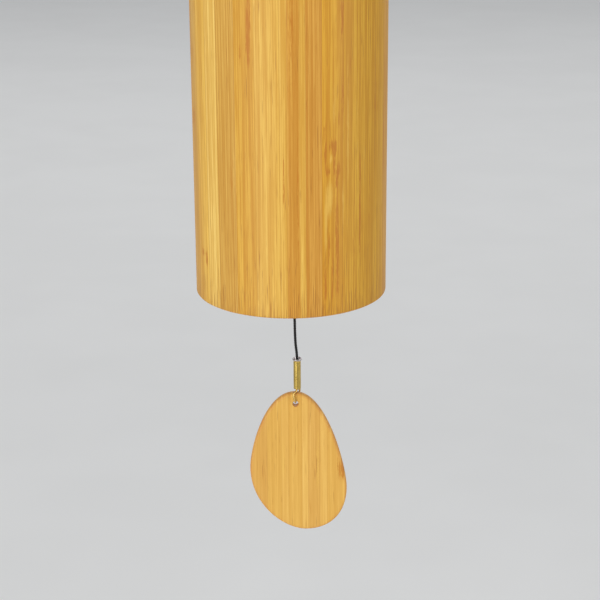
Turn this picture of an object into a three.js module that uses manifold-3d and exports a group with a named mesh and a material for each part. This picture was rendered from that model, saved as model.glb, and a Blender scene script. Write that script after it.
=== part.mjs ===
// A bamboo tube wind chime: eight tuned steel rods hang inside a rolled bamboo tube, and a clear
// disc on a black cord strikes them when the wind moves the flat bamboo sail under the tube.
//
// Millimetres, +Z up. The origin is the hang point, on the inside of the loop's top bend, so the
// whole chime lies below it. The sail faces -Y, and +X is to the right of someone who looks at it.

import * as THREE from 'three';
import { mergeVertices } from 'three/addons/utils/BufferGeometryUtils.js';
import Module from 'manifold-3d';

const wasm = await Module();
wasm.setup();

// ---------------------------------------------------------------- driving dimensions

const TOUCH = 0.3; // left between two pieces that touch

// the tube, and the disc that closes its top
const TUBE_DIAMETER = 62;
const TUBE_LENGTH = 165;
const TUBE_WALL = 3;
const TUBE_EDGE = 0.6; // how far the rolled edge is eased
const CAP_THICKNESS = 6;
const CAP_RECESS = 1; // from the tube's top edge down to the cap

// the metal plate that carries the rods, screwed under the cap
const PLATE_THICKNESS = 3;
const PLATE_TO_TUBE = 5; // open ring round the plate, so that the tube does not damp it
const PLATE_EDGE = 0.4;
const SPACER_LENGTH = 4;
const SPACER_DIAMETER = 5.5;
const SCREW_COUNT = 3;
const SCREW_DIAMETER = 2.2;
const SCREW_CLEARANCE = 0.35; // round the screw in the plate, spacer and cap
const SCREW_GRIP = 3.5; // how far the screw goes up into the cap
const SCREW_HEAD_DIAMETER = 4.6;
const SCREW_HEAD_HEIGHT = 1.7;
const SCREW_SLOT = 0.7;

// the rods: bars held at one end, so the pitch follows from the free length and the diameter
const ROD_DIAMETER = 3;
const ROD_TO_PLATE_EDGE = 4;
const ROD_CLEARANCE = 0.3; // round the rod in its hole in the plate
const ROD_TIP_CHAMFER = 0.4;
const STEEL_WAVE_SPEED = 5100000; // mm/s, the speed of sound along a steel bar
const FIXED_FREE_BAR = 0.5596; // first mode of a round bar held at one end
const RADIUS_OF_GYRATION = 1 / 4; // of a round section, as a share of its diameter
// C4 D4 E4 G4 A4 C5 D5 E5, in the order in which they stand round the plate
const ROD_PITCHES_HZ = [261.63, 440.0, 329.63, 587.33, 293.66, 523.25, 392.0, 659.26];
const SOLDER_WIDTH = 1.4; // the fillet's foot on the plate, outside the rod
const SOLDER_HEIGHT = 1.6;

// the cord, and the disc that it carries between the rods
const CORD_DIAMETER = 0.9;
const CORD_CLEARANCE = 0.4; // round a cord in a drilled hole
const LOOP_STRAND_X = 0.6; // from the axis to each strand at the loop's foot, in cord diameters
const KNOT_SINGLE = 1.9; // an overhand knot's half width, in cord diameters
const KNOT_DOUBLE = 2.5; // the same with two strands
const LOOP_DROP = 48; // from the hang point down to the knot that closes the loop
const KNOT_TO_CAP = 0.8;
const CLAPPER_TO_RODS = 3.5; // how far the disc travels before it strikes
const CLAPPER_THICKNESS = 6;
const CLAPPER_EDGE = 0.6;
const CLAPPER_DROP = 48; // from the plate down to the disc's middle

// the brass sleeve, the wire hook that it locks, and the sail
const HOOK_WIRE = 0.6;
const HOOK_LEG_GAP = 0.3; // between the hook's two legs inside the sleeve
const HOOK_CLEARANCE = 0.2; // round the legs, inside the sleeve
const HOOK_PLAY = 0.7; // round the wire, in the sail's hole
const HOOK_TIP_INSIDE = 4.2; // how far the hook's free end reaches up into the sleeve
const SLEEVE_DROP = 24.8; // from the tube's mouth down to the sleeve's top
const SLEEVE_LENGTH = 10.8;
const SLEEVE_WALL = 0.28;
const SLEEVE_LIP = 0.4; // how far the flared lip stands out
const SLEEVE_LIP_HEIGHT = 0.9;
const SLEEVE_X = 1.75; // the cord's curl carries the sleeve this far off the tube's axis
const CORD_IN_SLEEVE = 2.4;
const SAIL_DROP = 12.1; // from the sleeve's top down to the sail's top
const SAIL_LENGTH = 50.6;
const SAIL_WIDTH = 32.9;
const SAIL_MIDDLE_X = 2.0; // the hole isn't over the middle of the sail's width
const SAIL_THICKNESS = 2.6;
const SAIL_ROUNDING = 0.8;
const SAIL_HOLE_DROP = 3.9; // from the sail's top down to its hole
const SAIL_HOLE_X = 1.15;

// ---------------------------------------------------------------- sizes and heights that follow

const tubeRadius = TUBE_DIAMETER / 2;
const boreRadius = tubeRadius - TUBE_WALL;
const cordRadius = CORD_DIAMETER / 2;
const cordHoleRadius = cordRadius + CORD_CLEARANCE;
const strandPairRadius = CORD_DIAMETER; // two strands side by side
const pairHoleRadius = strandPairRadius + CORD_CLEARANCE;
const singleKnot = KNOT_SINGLE * CORD_DIAMETER;
const doubleKnot = KNOT_DOUBLE * CORD_DIAMETER;
const plateRadius = boreRadius - PLATE_TO_TUBE;
const rodRadius = ROD_DIAMETER / 2;
const rodCircle = plateRadius - ROD_TO_PLATE_EDGE;
const screwCircle = (pairHoleRadius + rodCircle) / 2;
const screwHoleRadius = SCREW_DIAMETER / 2 + SCREW_CLEARANCE;
const clapperRadius = rodCircle - rodRadius - CLAPPER_TO_RODS;
const legOffset = (HOOK_WIRE + HOOK_LEG_GAP) / 2;
const sleeveBore = legOffset + HOOK_WIRE / 2 + HOOK_CLEARANCE;
const sleeveRadius = sleeveBore + SLEEVE_WALL;
const sailHoleRadius = HOOK_WIRE / 2 + HOOK_PLAY;

const topKnotZ = -LOOP_DROP - doubleKnot - TOUCH;
const capTop = topKnotZ - doubleKnot - KNOT_TO_CAP;
const capBottom = capTop - CAP_THICKNESS;
const tubeTop = capTop + CAP_RECESS;
const mouth = tubeTop - TUBE_LENGTH;
const spacerTop = capBottom - TOUCH;
const spacerBottom = spacerTop - SPACER_LENGTH;
const plateTop = spacerBottom - TOUCH;
const plateBottom = plateTop - PLATE_THICKNESS;
const stopperKnotZ = plateBottom - TOUCH - doubleKnot;
const clapperZ = plateBottom - CLAPPER_DROP;
const clapperTop = clapperZ + CLAPPER_THICKNESS / 2;
const clapperBottom = clapperZ - CLAPPER_THICKNESS / 2;
const upperKnotZ = clapperTop + TOUCH + singleKnot;
const lowerKnotZ = clapperBottom - TOUCH - singleKnot;
const sleeveTop = mouth - SLEEVE_DROP;
const sleeveBottom = sleeveTop - SLEEVE_LENGTH;
const cordEnd = sleeveTop - CORD_IN_SLEEVE;
const sailTop = sleeveTop - SAIL_DROP;
const sailHoleZ = sailTop - SAIL_HOLE_DROP;

// ---------------------------------------------------------------- materials

function finish(color, roughness, metalness, extra = {}) {
  return new THREE.MeshStandardMaterial({ color, roughness, metalness, ...extra });
}

const bambooVeneer = () => finish(0xdcaa5c, 0.45, 0);
const bambooPlate = () => finish(0xd59c4e, 0.5, 0);
const bambooDisc = () => finish(0xcf9c58, 0.55, 0);
const rodSteel = () => finish(0xb9bdc2, 0.25, 1);
const plateBrass = () => finish(0xc9a557, 0.35, 1);
const sleeveBrass = () => finish(0xd8cdb0, 0.25, 1);
const hookBrass = () => finish(0xc8a04e, 0.3, 1);
const solderSilver = () => finish(0xc9cbc9, 0.35, 1);
const screwSteel = () => finish(0x9fa3a8, 0.35, 1);
const cordBlack = () => finish(0x1b1a19, 0.85, 0);
const clearAcrylic = () => finish(0xe6eef0, 0.08, 0, { transparent: true, opacity: 0.4 });

// ---------------------------------------------------------------- fineness of the round shapes

const TUBE_SEGMENTS = 48;
const DISC_SEGMENTS = 40;
const HOLE_SEGMENTS = 16;
const SLEEVE_SEGMENTS = 16;
const ROD_SEGMENTS = 12;
const KNOT_SEGMENTS = 10;
const KNOT_RINGS = 5;
const CORD_SIDES = 8;
const LOOP_STEPS = 48;
const CLAPPER_LINE_STEPS = 16;
const SAIL_LINE_STEPS = 64;
const HOOK_STEPS = 64;
const SAIL_QUARTER_SEGMENTS = 14;

// ---------------------------------------------------------------- shape helpers

// Turns a profile of [radius, z] pairs about Z. The profile runs upwards on its outer side.
function turned(profile, segments) {
  const points = profile.map(([radius, z]) => new THREE.Vector2(radius, z));
  return new THREE.LatheGeometry(points, segments).rotateX(Math.PI / 2);
}

// A profile that closes on itself, for a ring. It runs up the outside and down the bore.
function turnedRing(profile, segments) {
  return turned([...profile, profile[0]], segments);
}

function rod(radius, bottom, top, segments) {
  return turned([[0, bottom], [radius, bottom], [radius, top], [0, top]], segments);
}

function asSolid(geometry) {
  const bare = geometry.clone();
  bare.deleteAttribute('normal');
  bare.deleteAttribute('uv');
  const welded = mergeVertices(bare, 1e-4);
  return new wasm.Manifold(new wasm.Mesh({
    numProp: 3,
    vertProperties: Float32Array.from(welded.attributes.position.array),
    triVerts: Uint32Array.from(welded.index.array),
  }));
}

function asGeometry(solid) {
  const mesh = solid.getMesh();
  const geometry = new THREE.BufferGeometry();
  geometry.setAttribute('position', new THREE.BufferAttribute(mesh.vertProperties, 3));
  geometry.setIndex(new THREE.BufferAttribute(mesh.triVerts, 1));
  return geometry;
}

function cutAway(geometry, cutters) {
  const cut = cutters.reduce((left, cutter) => left.subtract(asSolid(cutter)), asSolid(geometry));
  return asGeometry(cut);
}

// The same cutter or piece at each place round the axis.
function around(count, radius, firstAngle, make) {
  return Array.from({ length: count }, (_, i) => {
    const angle = firstAngle + (i * 2 * Math.PI) / count;
    return make(i).translate(radius * Math.cos(angle), radius * Math.sin(angle), 0);
  });
}

// A round cord or wire along a smooth curve through the points.
function along(points, diameter, sides, steps) {
  const path = new THREE.CatmullRomCurve3(points.map((p) => new THREE.Vector3(...p)), false, 'centripetal');
  const section = new THREE.Shape();
  for (let i = 0; i < sides; i += 1) {
    const angle = (i * 2 * Math.PI) / sides;
    const [x, y] = [(Math.cos(angle) * diameter) / 2, (Math.sin(angle) * diameter) / 2];
    if (i === 0) section.moveTo(x, y);
    else section.lineTo(x, y);
  }
  return new THREE.ExtrudeGeometry(section, { steps, extrudePath: path, bevelEnabled: false });
}

// A knot as one turned body: an egg of the given half width, with a straight stem above it.
function knot(halfWidth, z, stemRadius = 0, stemTop = 0) {
  const profile = [[0, z - halfWidth]];
  for (let i = 1; i < KNOT_RINGS; i += 1) {
    const angle = (i * Math.PI) / KNOT_RINGS - Math.PI / 2;
    profile.push([halfWidth * Math.cos(angle), z + halfWidth * Math.sin(angle)]);
  }
  if (stemRadius > 0) {
    profile.push([stemRadius, z + halfWidth], [stemRadius, stemTop], [0, stemTop]);
  } else {
    profile.push([0, z + halfWidth]);
  }
  return turned(profile, KNOT_SEGMENTS);
}

// ---------------------------------------------------------------- the resonator

const FIRST_SCREW_ANGLE = Math.PI / 2;

function resonatorTube() {
  return turnedRing([
    [boreRadius + TUBE_EDGE, mouth],
    [tubeRadius - TUBE_EDGE, mouth],
    [tubeRadius, mouth + TUBE_EDGE],
    [tubeRadius, tubeTop - TUBE_EDGE],
    [tubeRadius - TUBE_EDGE, tubeTop],
    [boreRadius + TUBE_EDGE, tubeTop],
    [boreRadius, tubeTop - TUBE_EDGE],
    [boreRadius, mouth + TUBE_EDGE],
  ], TUBE_SEGMENTS);
}

function topCap() {
  const radius = boreRadius - TOUCH;
  const disc = turnedRing([
    [pairHoleRadius, capBottom],
    [radius, capBottom],
    [radius, capTop],
    [pairHoleRadius, capTop],
  ], DISC_SEGMENTS);
  const pilotTop = spacerTop + SCREW_GRIP + 2 * TOUCH;
  const below = capBottom - 1;
  const pilots = around(SCREW_COUNT, screwCircle, FIRST_SCREW_ANGLE, () =>
    rod(screwHoleRadius, below, pilotTop, HOLE_SEGMENTS));
  return cutAway(disc, pilots);
}

function tonePlate() {
  const disc = turnedRing([
    [pairHoleRadius, plateBottom],
    [plateRadius - PLATE_EDGE, plateBottom],
    [plateRadius, plateBottom + PLATE_EDGE],
    [plateRadius, plateTop - PLATE_EDGE],
    [plateRadius - PLATE_EDGE, plateTop],
    [pairHoleRadius, plateTop],
  ], DISC_SEGMENTS);
  const [below, above] = [plateBottom - 1, plateTop + 1];
  const rodHoles = around(ROD_PITCHES_HZ.length, rodCircle, 0, () =>
    rod(rodRadius + ROD_CLEARANCE, below, above, HOLE_SEGMENTS));
  const screwHoles = around(SCREW_COUNT, screwCircle, FIRST_SCREW_ANGLE, () =>
    rod(screwHoleRadius, below, above, HOLE_SEGMENTS));
  return cutAway(disc, [...rodHoles, ...screwHoles]);
}

// Free length of a round steel bar that is held at one end and sounds at the given pitch.
function rodLength(pitch) {
  return Math.sqrt((FIXED_FREE_BAR * ROD_DIAMETER * RADIUS_OF_GYRATION * STEEL_WAVE_SPEED) / pitch);
}

// A rod stands flush with the plate's top and hangs below it by its sounding length.
function toneRod(pitch) {
  const tip = plateBottom - rodLength(pitch);
  return turned([
    [0, tip],
    [rodRadius - ROD_TIP_CHAMFER, tip],
    [rodRadius, tip + ROD_TIP_CHAMFER],
    [rodRadius, plateTop],
    [0, plateTop],
  ], ROD_SEGMENTS);
}

function solderFillet() {
  const inner = rodRadius + TOUCH;
  const top = plateBottom - TOUCH;
  return turnedRing([
    [inner, top - SOLDER_HEIGHT],
    [inner + SOLDER_WIDTH / 3, top - SOLDER_HEIGHT / 3],
    [inner + SOLDER_WIDTH, top],
    [inner, top],
  ], ROD_SEGMENTS);
}

function plateScrew() {
  const headTop = plateBottom - TOUCH;
  const headBottom = headTop - SCREW_HEAD_HEIGHT;
  const [headRadius, shankRadius] = [SCREW_HEAD_DIAMETER / 2, SCREW_DIAMETER / 2];
  const tip = spacerTop + SCREW_GRIP + TOUCH;
  const screw = turned([
    [0, headBottom],
    [headRadius * 0.7, headBottom],
    [headRadius, headBottom + SCREW_HEAD_HEIGHT / 2],
    [headRadius, headTop],
    [shankRadius, headTop],
    [shankRadius, tip - shankRadius],
    [0, tip],
  ], ROD_SEGMENTS);
  const slot = new THREE.BoxGeometry(SCREW_HEAD_DIAMETER + 1, SCREW_SLOT, SCREW_HEAD_HEIGHT)
    .translate(0, 0, headBottom);
  return cutAway(screw, [slot]);
}

function plateSpacer() {
  return turnedRing([
    [screwHoleRadius, spacerBottom],
    [SPACER_DIAMETER / 2, spacerBottom],
    [SPACER_DIAMETER / 2, spacerTop],
    [screwHoleRadius, spacerTop],
  ], ROD_SEGMENTS);
}

// ---------------------------------------------------------------- cord, knots and clapper

// The loop runs up from the knot, round whatever the chime hangs on, and down again.
function hangingLoop() {
  const bottom = topKnotZ + doubleKnot + TOUCH;
  const strand = CORD_DIAMETER * LOOP_STRAND_X;
  const rightSide = [
    [strand, 0, bottom],
    [1.0, 0, bottom + 6],
    [1.9, 0, bottom + 18],
    [2.9, 0, bottom + 31],
    [3.7, 0, bottom + 41],
    [3.3, 0, bottom + 45.4],
  ];
  const top = [0, 0, cordRadius];
  const leftSide = rightSide.map(([x, y, z]) => [-x, y, z]).reverse();
  return along([...rightSide, top, ...leftSide], CORD_DIAMETER, CORD_SIDES, LOOP_STEPS);
}

function topKnot() {
  return knot(doubleKnot, topKnotZ);
}

// The knot under the plate carries the chime. Its two strands go up through the plate and cap.
function stopperKnot() {
  return knot(doubleKnot, stopperKnotZ, strandPairRadius, topKnotZ - doubleKnot - TOUCH);
}

function clapperLine() {
  const [top, bottom] = [stopperKnotZ - doubleKnot - TOUCH, upperKnotZ + singleKnot + TOUCH];
  const line = [[0, 0, top], [0, 0, (top + bottom) / 2], [0, 0, bottom]];
  return along(line, CORD_DIAMETER, CORD_SIDES, CLAPPER_LINE_STEPS);
}

function clapperDisc() {
  return turnedRing([
    [cordHoleRadius, clapperBottom],
    [clapperRadius - CLAPPER_EDGE, clapperBottom],
    [clapperRadius, clapperBottom + CLAPPER_EDGE],
    [clapperRadius, clapperTop - CLAPPER_EDGE],
    [clapperRadius - CLAPPER_EDGE, clapperTop],
    [cordHoleRadius, clapperTop],
  ], DISC_SEGMENTS);
}

function clapperKnotUpper() {
  return knot(singleKnot, upperKnotZ);
}

// This knot carries the disc. Its strand goes up through the disc to the knot above.
function clapperKnotLower() {
  return knot(singleKnot, lowerKnotZ, cordRadius, upperKnotZ - singleKnot - TOUCH);
}

// The line hangs straight down the tube, leans as it leaves the mouth, and curls into the sleeve.
function sailLine() {
  const top = lowerKnotZ - singleKnot - TOUCH;
  return along([
    [0, 0, top],
    [0, 0, top - 6],
    [0.1, 0, top - 24],
    [0.35, 0, mouth + 44],
    [0.65, 0, mouth + 20],
    [0.88, 0, mouth],
    [1.04, 0, mouth - 11],
    [1.16, 0, mouth - 17],
    [1.32, 0, mouth - 20],
    [1.58, 0, mouth - 22.4],
    [SLEEVE_X, 0, sleeveTop],
    [SLEEVE_X, 0, cordEnd],
  ], CORD_DIAMETER, CORD_SIDES, SAIL_LINE_STEPS);
}

// ---------------------------------------------------------------- sleeve, hook and sail

function brassSleeve() {
  return turnedRing([
    [sleeveBore, sleeveBottom],
    [sleeveRadius, sleeveBottom],
    [sleeveRadius, sleeveTop - SLEEVE_LIP_HEIGHT],
    [sleeveRadius + SLEEVE_LIP, sleeveTop - SLEEVE_LIP / 2],
    [sleeveRadius + SLEEVE_LIP, sleeveTop],
    [sleeveBore + SLEEVE_LIP, sleeveTop],
    [sleeveBore, sleeveTop - SLEEVE_LIP_HEIGHT],
  ], SLEEVE_SEGMENTS).translate(SLEEVE_X, 0, 0);
}

// One wire: down the back of the sail, through its hole, up the front, and back into the sleeve.
function wireHook() {
  const shankTop = cordEnd - TOUCH;
  const tip = sleeveBottom + HOOK_TIP_INSIDE;
  const reach = SAIL_THICKNESS / 2 + HOOK_WIRE + TOUCH;
  const seat = sailHoleZ + sailHoleRadius - HOOK_WIRE / 2 - TOUCH;
  return along([
    [SLEEVE_X, legOffset, shankTop],
    [SLEEVE_X, legOffset, sleeveBottom + 0.4],
    [SLEEVE_X + 0.3, legOffset + 0.6, sleeveBottom - 0.7],
    [SLEEVE_X + 0.85, reach - 0.1, sleeveBottom - 1.3],
    [SLEEVE_X + 0.4, reach, seat + 1.9],
    [SAIL_HOLE_X + 0.15, reach - 0.3, seat + 0.6],
    [SAIL_HOLE_X + 0.05, reach - 1.2, seat],
    [SAIL_HOLE_X, 0, seat],
    [SAIL_HOLE_X - 0.05, 1.2 - reach, seat],
    [SAIL_HOLE_X - 0.1, 0.3 - reach, seat + 0.6],
    [SAIL_HOLE_X - 0.5, -reach, seat + 1.9],
    [SLEEVE_X - 1.3, 0.1 - reach, sleeveBottom - 1.3],
    [SLEEVE_X - 0.4, -legOffset - 0.6, sleeveBottom - 0.7],
    [SLEEVE_X, -legOffset, sleeveBottom + 0.4],
    [SLEEVE_X, -legOffset, tip],
  ], HOOK_WIRE, CORD_SIDES, HOOK_STEPS);
}

// The sail is a flat egg, a little lopsided: narrow at its hole, and fullest low on the right. Its
// outline is given in shares of its width, from its middle, and of its length, from its top. The
// curves between its four outermost points leave each point level or upright.
function sailPlate() {
  const place = (across, down) => [SAIL_MIDDLE_X + across * SAIL_WIDTH, sailTop - down * SAIL_LENGTH];
  const outline = new THREE.Shape();
  outline.moveTo(...place(-0.033, 0));
  outline.bezierCurveTo(...place(0.31, 0), ...place(0.5, 0.573), ...place(0.5, 0.69));
  outline.bezierCurveTo(...place(0.5, 0.885), ...place(0.33, 1), ...place(0.077, 1));
  outline.bezierCurveTo(...place(-0.16, 1), ...place(-0.5, 0.817), ...place(-0.5, 0.544));
  outline.bezierCurveTo(...place(-0.5, 0.419), ...place(-0.349, 0), ...place(-0.033, 0));
  const plate = new THREE.ExtrudeGeometry(outline, {
    depth: SAIL_THICKNESS - 2 * SAIL_ROUNDING,
    curveSegments: SAIL_QUARTER_SEGMENTS,
    bevelThickness: SAIL_ROUNDING,
    bevelSize: SAIL_ROUNDING,
    bevelOffset: -SAIL_ROUNDING,
    bevelSegments: 2,
  }).translate(0, 0, SAIL_ROUNDING - SAIL_THICKNESS / 2).rotateX(Math.PI / 2);
  const hole = new THREE.CylinderGeometry(sailHoleRadius, sailHoleRadius, SAIL_THICKNESS + 2, HOLE_SEGMENTS)
    .translate(SAIL_HOLE_X, 0, sailHoleZ);
  return cutAway(plate, [hole]);
}

// ---------------------------------------------------------------- the assembly

const windChime = new THREE.Group();

function add(name, geometry, material) {
  const mesh = new THREE.Mesh(geometry, material);
  mesh.name = name;
  windChime.add(mesh);
}

add('hanging_loop', hangingLoop(), cordBlack());
add('top_knot', topKnot(), cordBlack());

add('resonator_tube', resonatorTube(), bambooVeneer());
add('top_cap', topCap(), bambooDisc());
add('tone_plate', tonePlate(), plateBrass());
around(ROD_PITCHES_HZ.length, rodCircle, 0, (i) => toneRod(ROD_PITCHES_HZ[i]))
  .forEach((geometry, i) => add(`rod_${i + 1}`, geometry, rodSteel()));
around(ROD_PITCHES_HZ.length, rodCircle, 0, solderFillet)
  .forEach((geometry, i) => add(`solder_${i + 1}`, geometry, solderSilver()));
around(SCREW_COUNT, screwCircle, FIRST_SCREW_ANGLE, plateScrew)
  .forEach((geometry, i) => add(`plate_screw_${i + 1}`, geometry, screwSteel()));
around(SCREW_COUNT, screwCircle, FIRST_SCREW_ANGLE, plateSpacer)
  .forEach((geometry, i) => add(`plate_spacer_${i + 1}`, geometry, screwSteel()));

add('stopper_knot', stopperKnot(), cordBlack());
add('clapper_line', clapperLine(), cordBlack());
add('clapper_knot_upper', clapperKnotUpper(), cordBlack());
add('clapper', clapperDisc(), clearAcrylic());
add('clapper_knot_lower', clapperKnotLower(), cordBlack());
add('sail_line', sailLine(), cordBlack());
add('sleeve', brassSleeve(), sleeveBrass());
add('hook', wireHook(), hookBrass());
add('sail', sailPlate(), bambooPlate());

export default windChime;
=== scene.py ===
"""The looks of a bamboo tube wind chime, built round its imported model.

Everything is in metres in the model's own frame: +Z up, the sail facing -Y, and the hang point at the
origin. Sizes come from the model's nodes, and the routes of the cords repeat those of the model.
"""

import math

import bmesh
import bpy
import numpy as np
from mathutils import Matrix, Vector
from mathutils.geometry import delaunay_2d_cdt, interpolate_bezier


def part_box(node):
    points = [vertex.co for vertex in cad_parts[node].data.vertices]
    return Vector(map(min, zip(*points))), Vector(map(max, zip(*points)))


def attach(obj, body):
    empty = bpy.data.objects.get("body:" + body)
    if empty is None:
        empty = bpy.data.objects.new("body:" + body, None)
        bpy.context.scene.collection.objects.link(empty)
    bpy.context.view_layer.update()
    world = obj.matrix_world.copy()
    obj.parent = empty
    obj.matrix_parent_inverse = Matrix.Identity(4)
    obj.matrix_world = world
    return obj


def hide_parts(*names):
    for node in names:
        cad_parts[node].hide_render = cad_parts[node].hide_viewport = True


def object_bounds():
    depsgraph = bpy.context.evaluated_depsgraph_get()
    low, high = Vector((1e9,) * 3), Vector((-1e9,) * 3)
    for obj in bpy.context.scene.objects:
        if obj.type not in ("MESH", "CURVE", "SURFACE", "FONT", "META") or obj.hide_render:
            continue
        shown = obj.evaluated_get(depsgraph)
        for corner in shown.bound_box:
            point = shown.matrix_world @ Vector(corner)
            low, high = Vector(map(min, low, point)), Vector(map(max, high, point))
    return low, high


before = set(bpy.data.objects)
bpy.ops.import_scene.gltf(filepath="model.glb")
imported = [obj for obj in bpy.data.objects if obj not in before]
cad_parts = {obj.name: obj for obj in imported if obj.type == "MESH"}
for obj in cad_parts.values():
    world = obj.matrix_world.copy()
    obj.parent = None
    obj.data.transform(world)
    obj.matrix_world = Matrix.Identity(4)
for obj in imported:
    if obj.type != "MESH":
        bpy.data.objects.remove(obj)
cad_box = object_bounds()

MM = 0.001
FULL_TURN = 2 * math.pi

# ---------------------------------------------------------------- sizes, read from the model where they can be


def in_mm(metres):
    return metres / MM


def lowest(node):
    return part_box(node)[0]


def highest(node):
    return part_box(node)[1]


def middle(node):
    return (lowest(node) + highest(node)) / 2


TUBE_RADIUS = highest("resonator_tube").x
TUBE_WALL = 3 * MM
TUBE_EDGE = 0.6 * MM
MOUTH = lowest("resonator_tube").z
TUBE_TOP = highest("resonator_tube").z
ROD_COUNT = 8
ROD = 3 * MM
ROD_CIRCLE = middle("rod_1").x
SCREW_COUNT = 3
SCREW_CIRCLE = middle("plate_screw_1").y
CORD = 0.9 * MM
HOOK_WIRE = 0.6 * MM
PLATE_BOTTOM = lowest("tone_plate").z
PLATE_TOP = highest("tone_plate").z

# ---------------------------------------------------------------- camera

EYE = Vector((2.86 * MM, -537.3 * MM, MOUTH + 179.7 * MM))
LOOKING_DOWN_BY = math.radians(18.907)
LEANING_BY = math.radians(-0.375)
LENS_IN_MM = 103.3
SENSOR_IN_MM = 36


def place_camera():
    """A long lens above the tube's mouth, looking down at it, with the horizon barely off level."""
    forward = Vector((0, math.cos(LOOKING_DOWN_BY), -math.sin(LOOKING_DOWN_BY)))
    level_right = Vector((1, 0, 0))
    level_up = level_right.cross(forward)
    right = math.cos(LEANING_BY) * level_right + math.sin(LEANING_BY) * level_up
    up = math.cos(LEANING_BY) * level_up - math.sin(LEANING_BY) * level_right
    data = bpy.data.cameras.new("camera")
    data.lens = LENS_IN_MM
    data.sensor_width = SENSOR_IN_MM
    data.clip_start = 10 * MM
    camera = bpy.data.objects.new("camera", data)
    turn = Matrix((right, up, -forward)).transposed().to_4x4()
    camera.matrix_world = Matrix.Translation(EYE) @ turn
    bpy.context.scene.collection.objects.link(camera)
    bpy.context.scene.camera = camera


place_camera()

# ---------------------------------------------------------------- shader nodes, one short method a kind


def rgb(red, green, blue):
    return (red, green, blue, 1.0)


class Finish:
    """A material and its shader. The constants are set on the shader's own sockets of those names."""

    def __init__(self, name, **constants):
        self.material = bpy.data.materials.new(name)
        self.material.use_nodes = True
        self.tree = self.material.node_tree
        self.shader = self.tree.nodes["Principled BSDF"]
        for socket, value in constants.items():
            self.shader.inputs[socket.replace("_", " ")].default_value = value

    def node(self, kind, **settings):
        made = self.tree.nodes.new("ShaderNode" + kind)
        for key, value in settings.items():
            setattr(made, key, value)
        return made

    def feed(self, socket, value):
        if isinstance(value, bpy.types.NodeSocket):
            self.tree.links.new(value, socket)
        else:
            socket.default_value = value

    def set(self, socket, value):
        self.feed(self.shader.inputs[socket], value)

    def math(self, operation, a, b):
        made = self.node("Math", operation=operation)
        self.feed(made.inputs[0], a)
        self.feed(made.inputs[1], b)
        return made.outputs[0]

    def scaled(self, vector, scale):
        made = self.node("Mapping")
        self.feed(made.inputs["Vector"], vector)
        self.feed(made.inputs["Scale"], scale)
        return made.outputs[0]

    def noise(self, vector, detail=3.0, roughness=0.55, distortion=0.0):
        made = self.node("TexNoise")
        self.feed(made.inputs["Vector"], vector)
        self.feed(made.inputs["Scale"], 1.0)
        self.feed(made.inputs["Detail"], detail)
        self.feed(made.inputs["Roughness"], roughness)
        self.feed(made.inputs["Distortion"], distortion)
        return made.outputs["Fac"]

    def mottle(self, scale, detail=2.0):
        """Noise fixed to the piece. The larger a number of the scale, the finer it is along that axis."""
        return self.noise(self.scaled(self.place(), scale), detail=detail)

    def ramp(self, value, low, high, to_low=0.0, to_high=1.0):
        """to_low below low, to_high above high, and smooth between them."""
        made = self.node("MapRange", interpolation_type="SMOOTHSTEP")
        places = ("Value", "From Min", "From Max", "To Min", "To Max")
        for place, number in zip(places, (value, low, high, to_low, to_high)):
            self.feed(made.inputs[place], number)
        return made.outputs["Result"]

    def spread(self, value, low, high):
        """Takes 0 to 1 to low to high."""
        made = self.node("MapRange")
        self.feed(made.inputs["Value"], value)
        self.feed(made.inputs["To Min"], low)
        self.feed(made.inputs["To Max"], high)
        return made.outputs["Result"]

    def mix(self, share, a, b, blend="MIX"):
        made = self.node("Mix", data_type="RGBA", blend_type=blend)
        self.feed(made.inputs["Factor"], share)
        self.feed(made.inputs[6], a)
        self.feed(made.inputs[7], b)
        return made.outputs[2]

    def surface(self, colour, roughness, relief, depth, strength):
        """Sets the colour, the roughness and a relief of the given depth, and gives back the material."""
        bump = self.node("Bump")
        self.feed(bump.inputs["Height"], relief)
        self.feed(bump.inputs["Distance"], depth)
        self.feed(bump.inputs["Strength"], strength)
        self.set("Base Color", colour)
        self.set("Roughness", roughness)
        self.set("Normal", bump.outputs[0])
        return self.material

    def place(self):
        """Where a point of the piece lies, in metres."""
        return self.node("TexCoord").outputs["Object"]

    def height(self):
        """How high a point of the piece lies, in metres."""
        made = self.node("SeparateXYZ")
        self.feed(made.inputs[0], self.place())
        return made.outputs["Z"]

    def vector(self, x=0.0, y=0.0, z=0.0):
        made = self.node("CombineXYZ")
        for socket, value in zip(made.inputs, (x, y, z)):
            self.feed(socket, value)
        return made.outputs[0]

    def from_axis(self):
        """How far a point lies from the chime's upright axis, in metres."""
        flat = self.scaled(self.place(), (1, 1, 0))
        made = self.node("VectorMath", operation="LENGTH")
        self.feed(made.inputs[0], flat)
        return made.outputs["Value"]

    def attribute(self, name, output="Fac"):
        return self.node("Attribute", attribute_name=name).outputs[output]

    def uv(self, name):
        return self.node("UVMap", uv_map=name).outputs["UV"]


# ---------------------------------------------------------------- bamboo

STRAW = rgb(0.83, 0.57, 0.150)
PALE_HONEY = rgb(0.77, 0.48, 0.092)
HONEY = rgb(0.71, 0.405, 0.058)
NODE_HONEY = rgb(0.69, 0.37, 0.036)
TAN = rgb(0.68, 0.365, 0.058)
AMBER = rgb(0.67, 0.35, 0.046)
OLIVE_TAN = rgb(0.69, 0.38, 0.034)
PINKISH_TAN = rgb(0.68, 0.41, 0.088)
PINKISH_FRONT = rgb(0.67, 0.355, 0.062)
STAIN_BROWN = rgb(0.49, 0.18, 0.015)
FIBRE_BROWN = rgb(0.34, 0.125, 0.018)
# the burnt orange of the cut edges, also laid on them as painted shade
BURNT_AND_SHADED_EDGE = rgb(0.60, 0.25, 0.055)
SAIL_PINK = rgb(0.72, 0.42, 0.098)
SAIL_PALE = rgb(0.78, 0.48, 0.115)
SAIL_GOLD = rgb(0.74, 0.44, 0.095)


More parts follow.
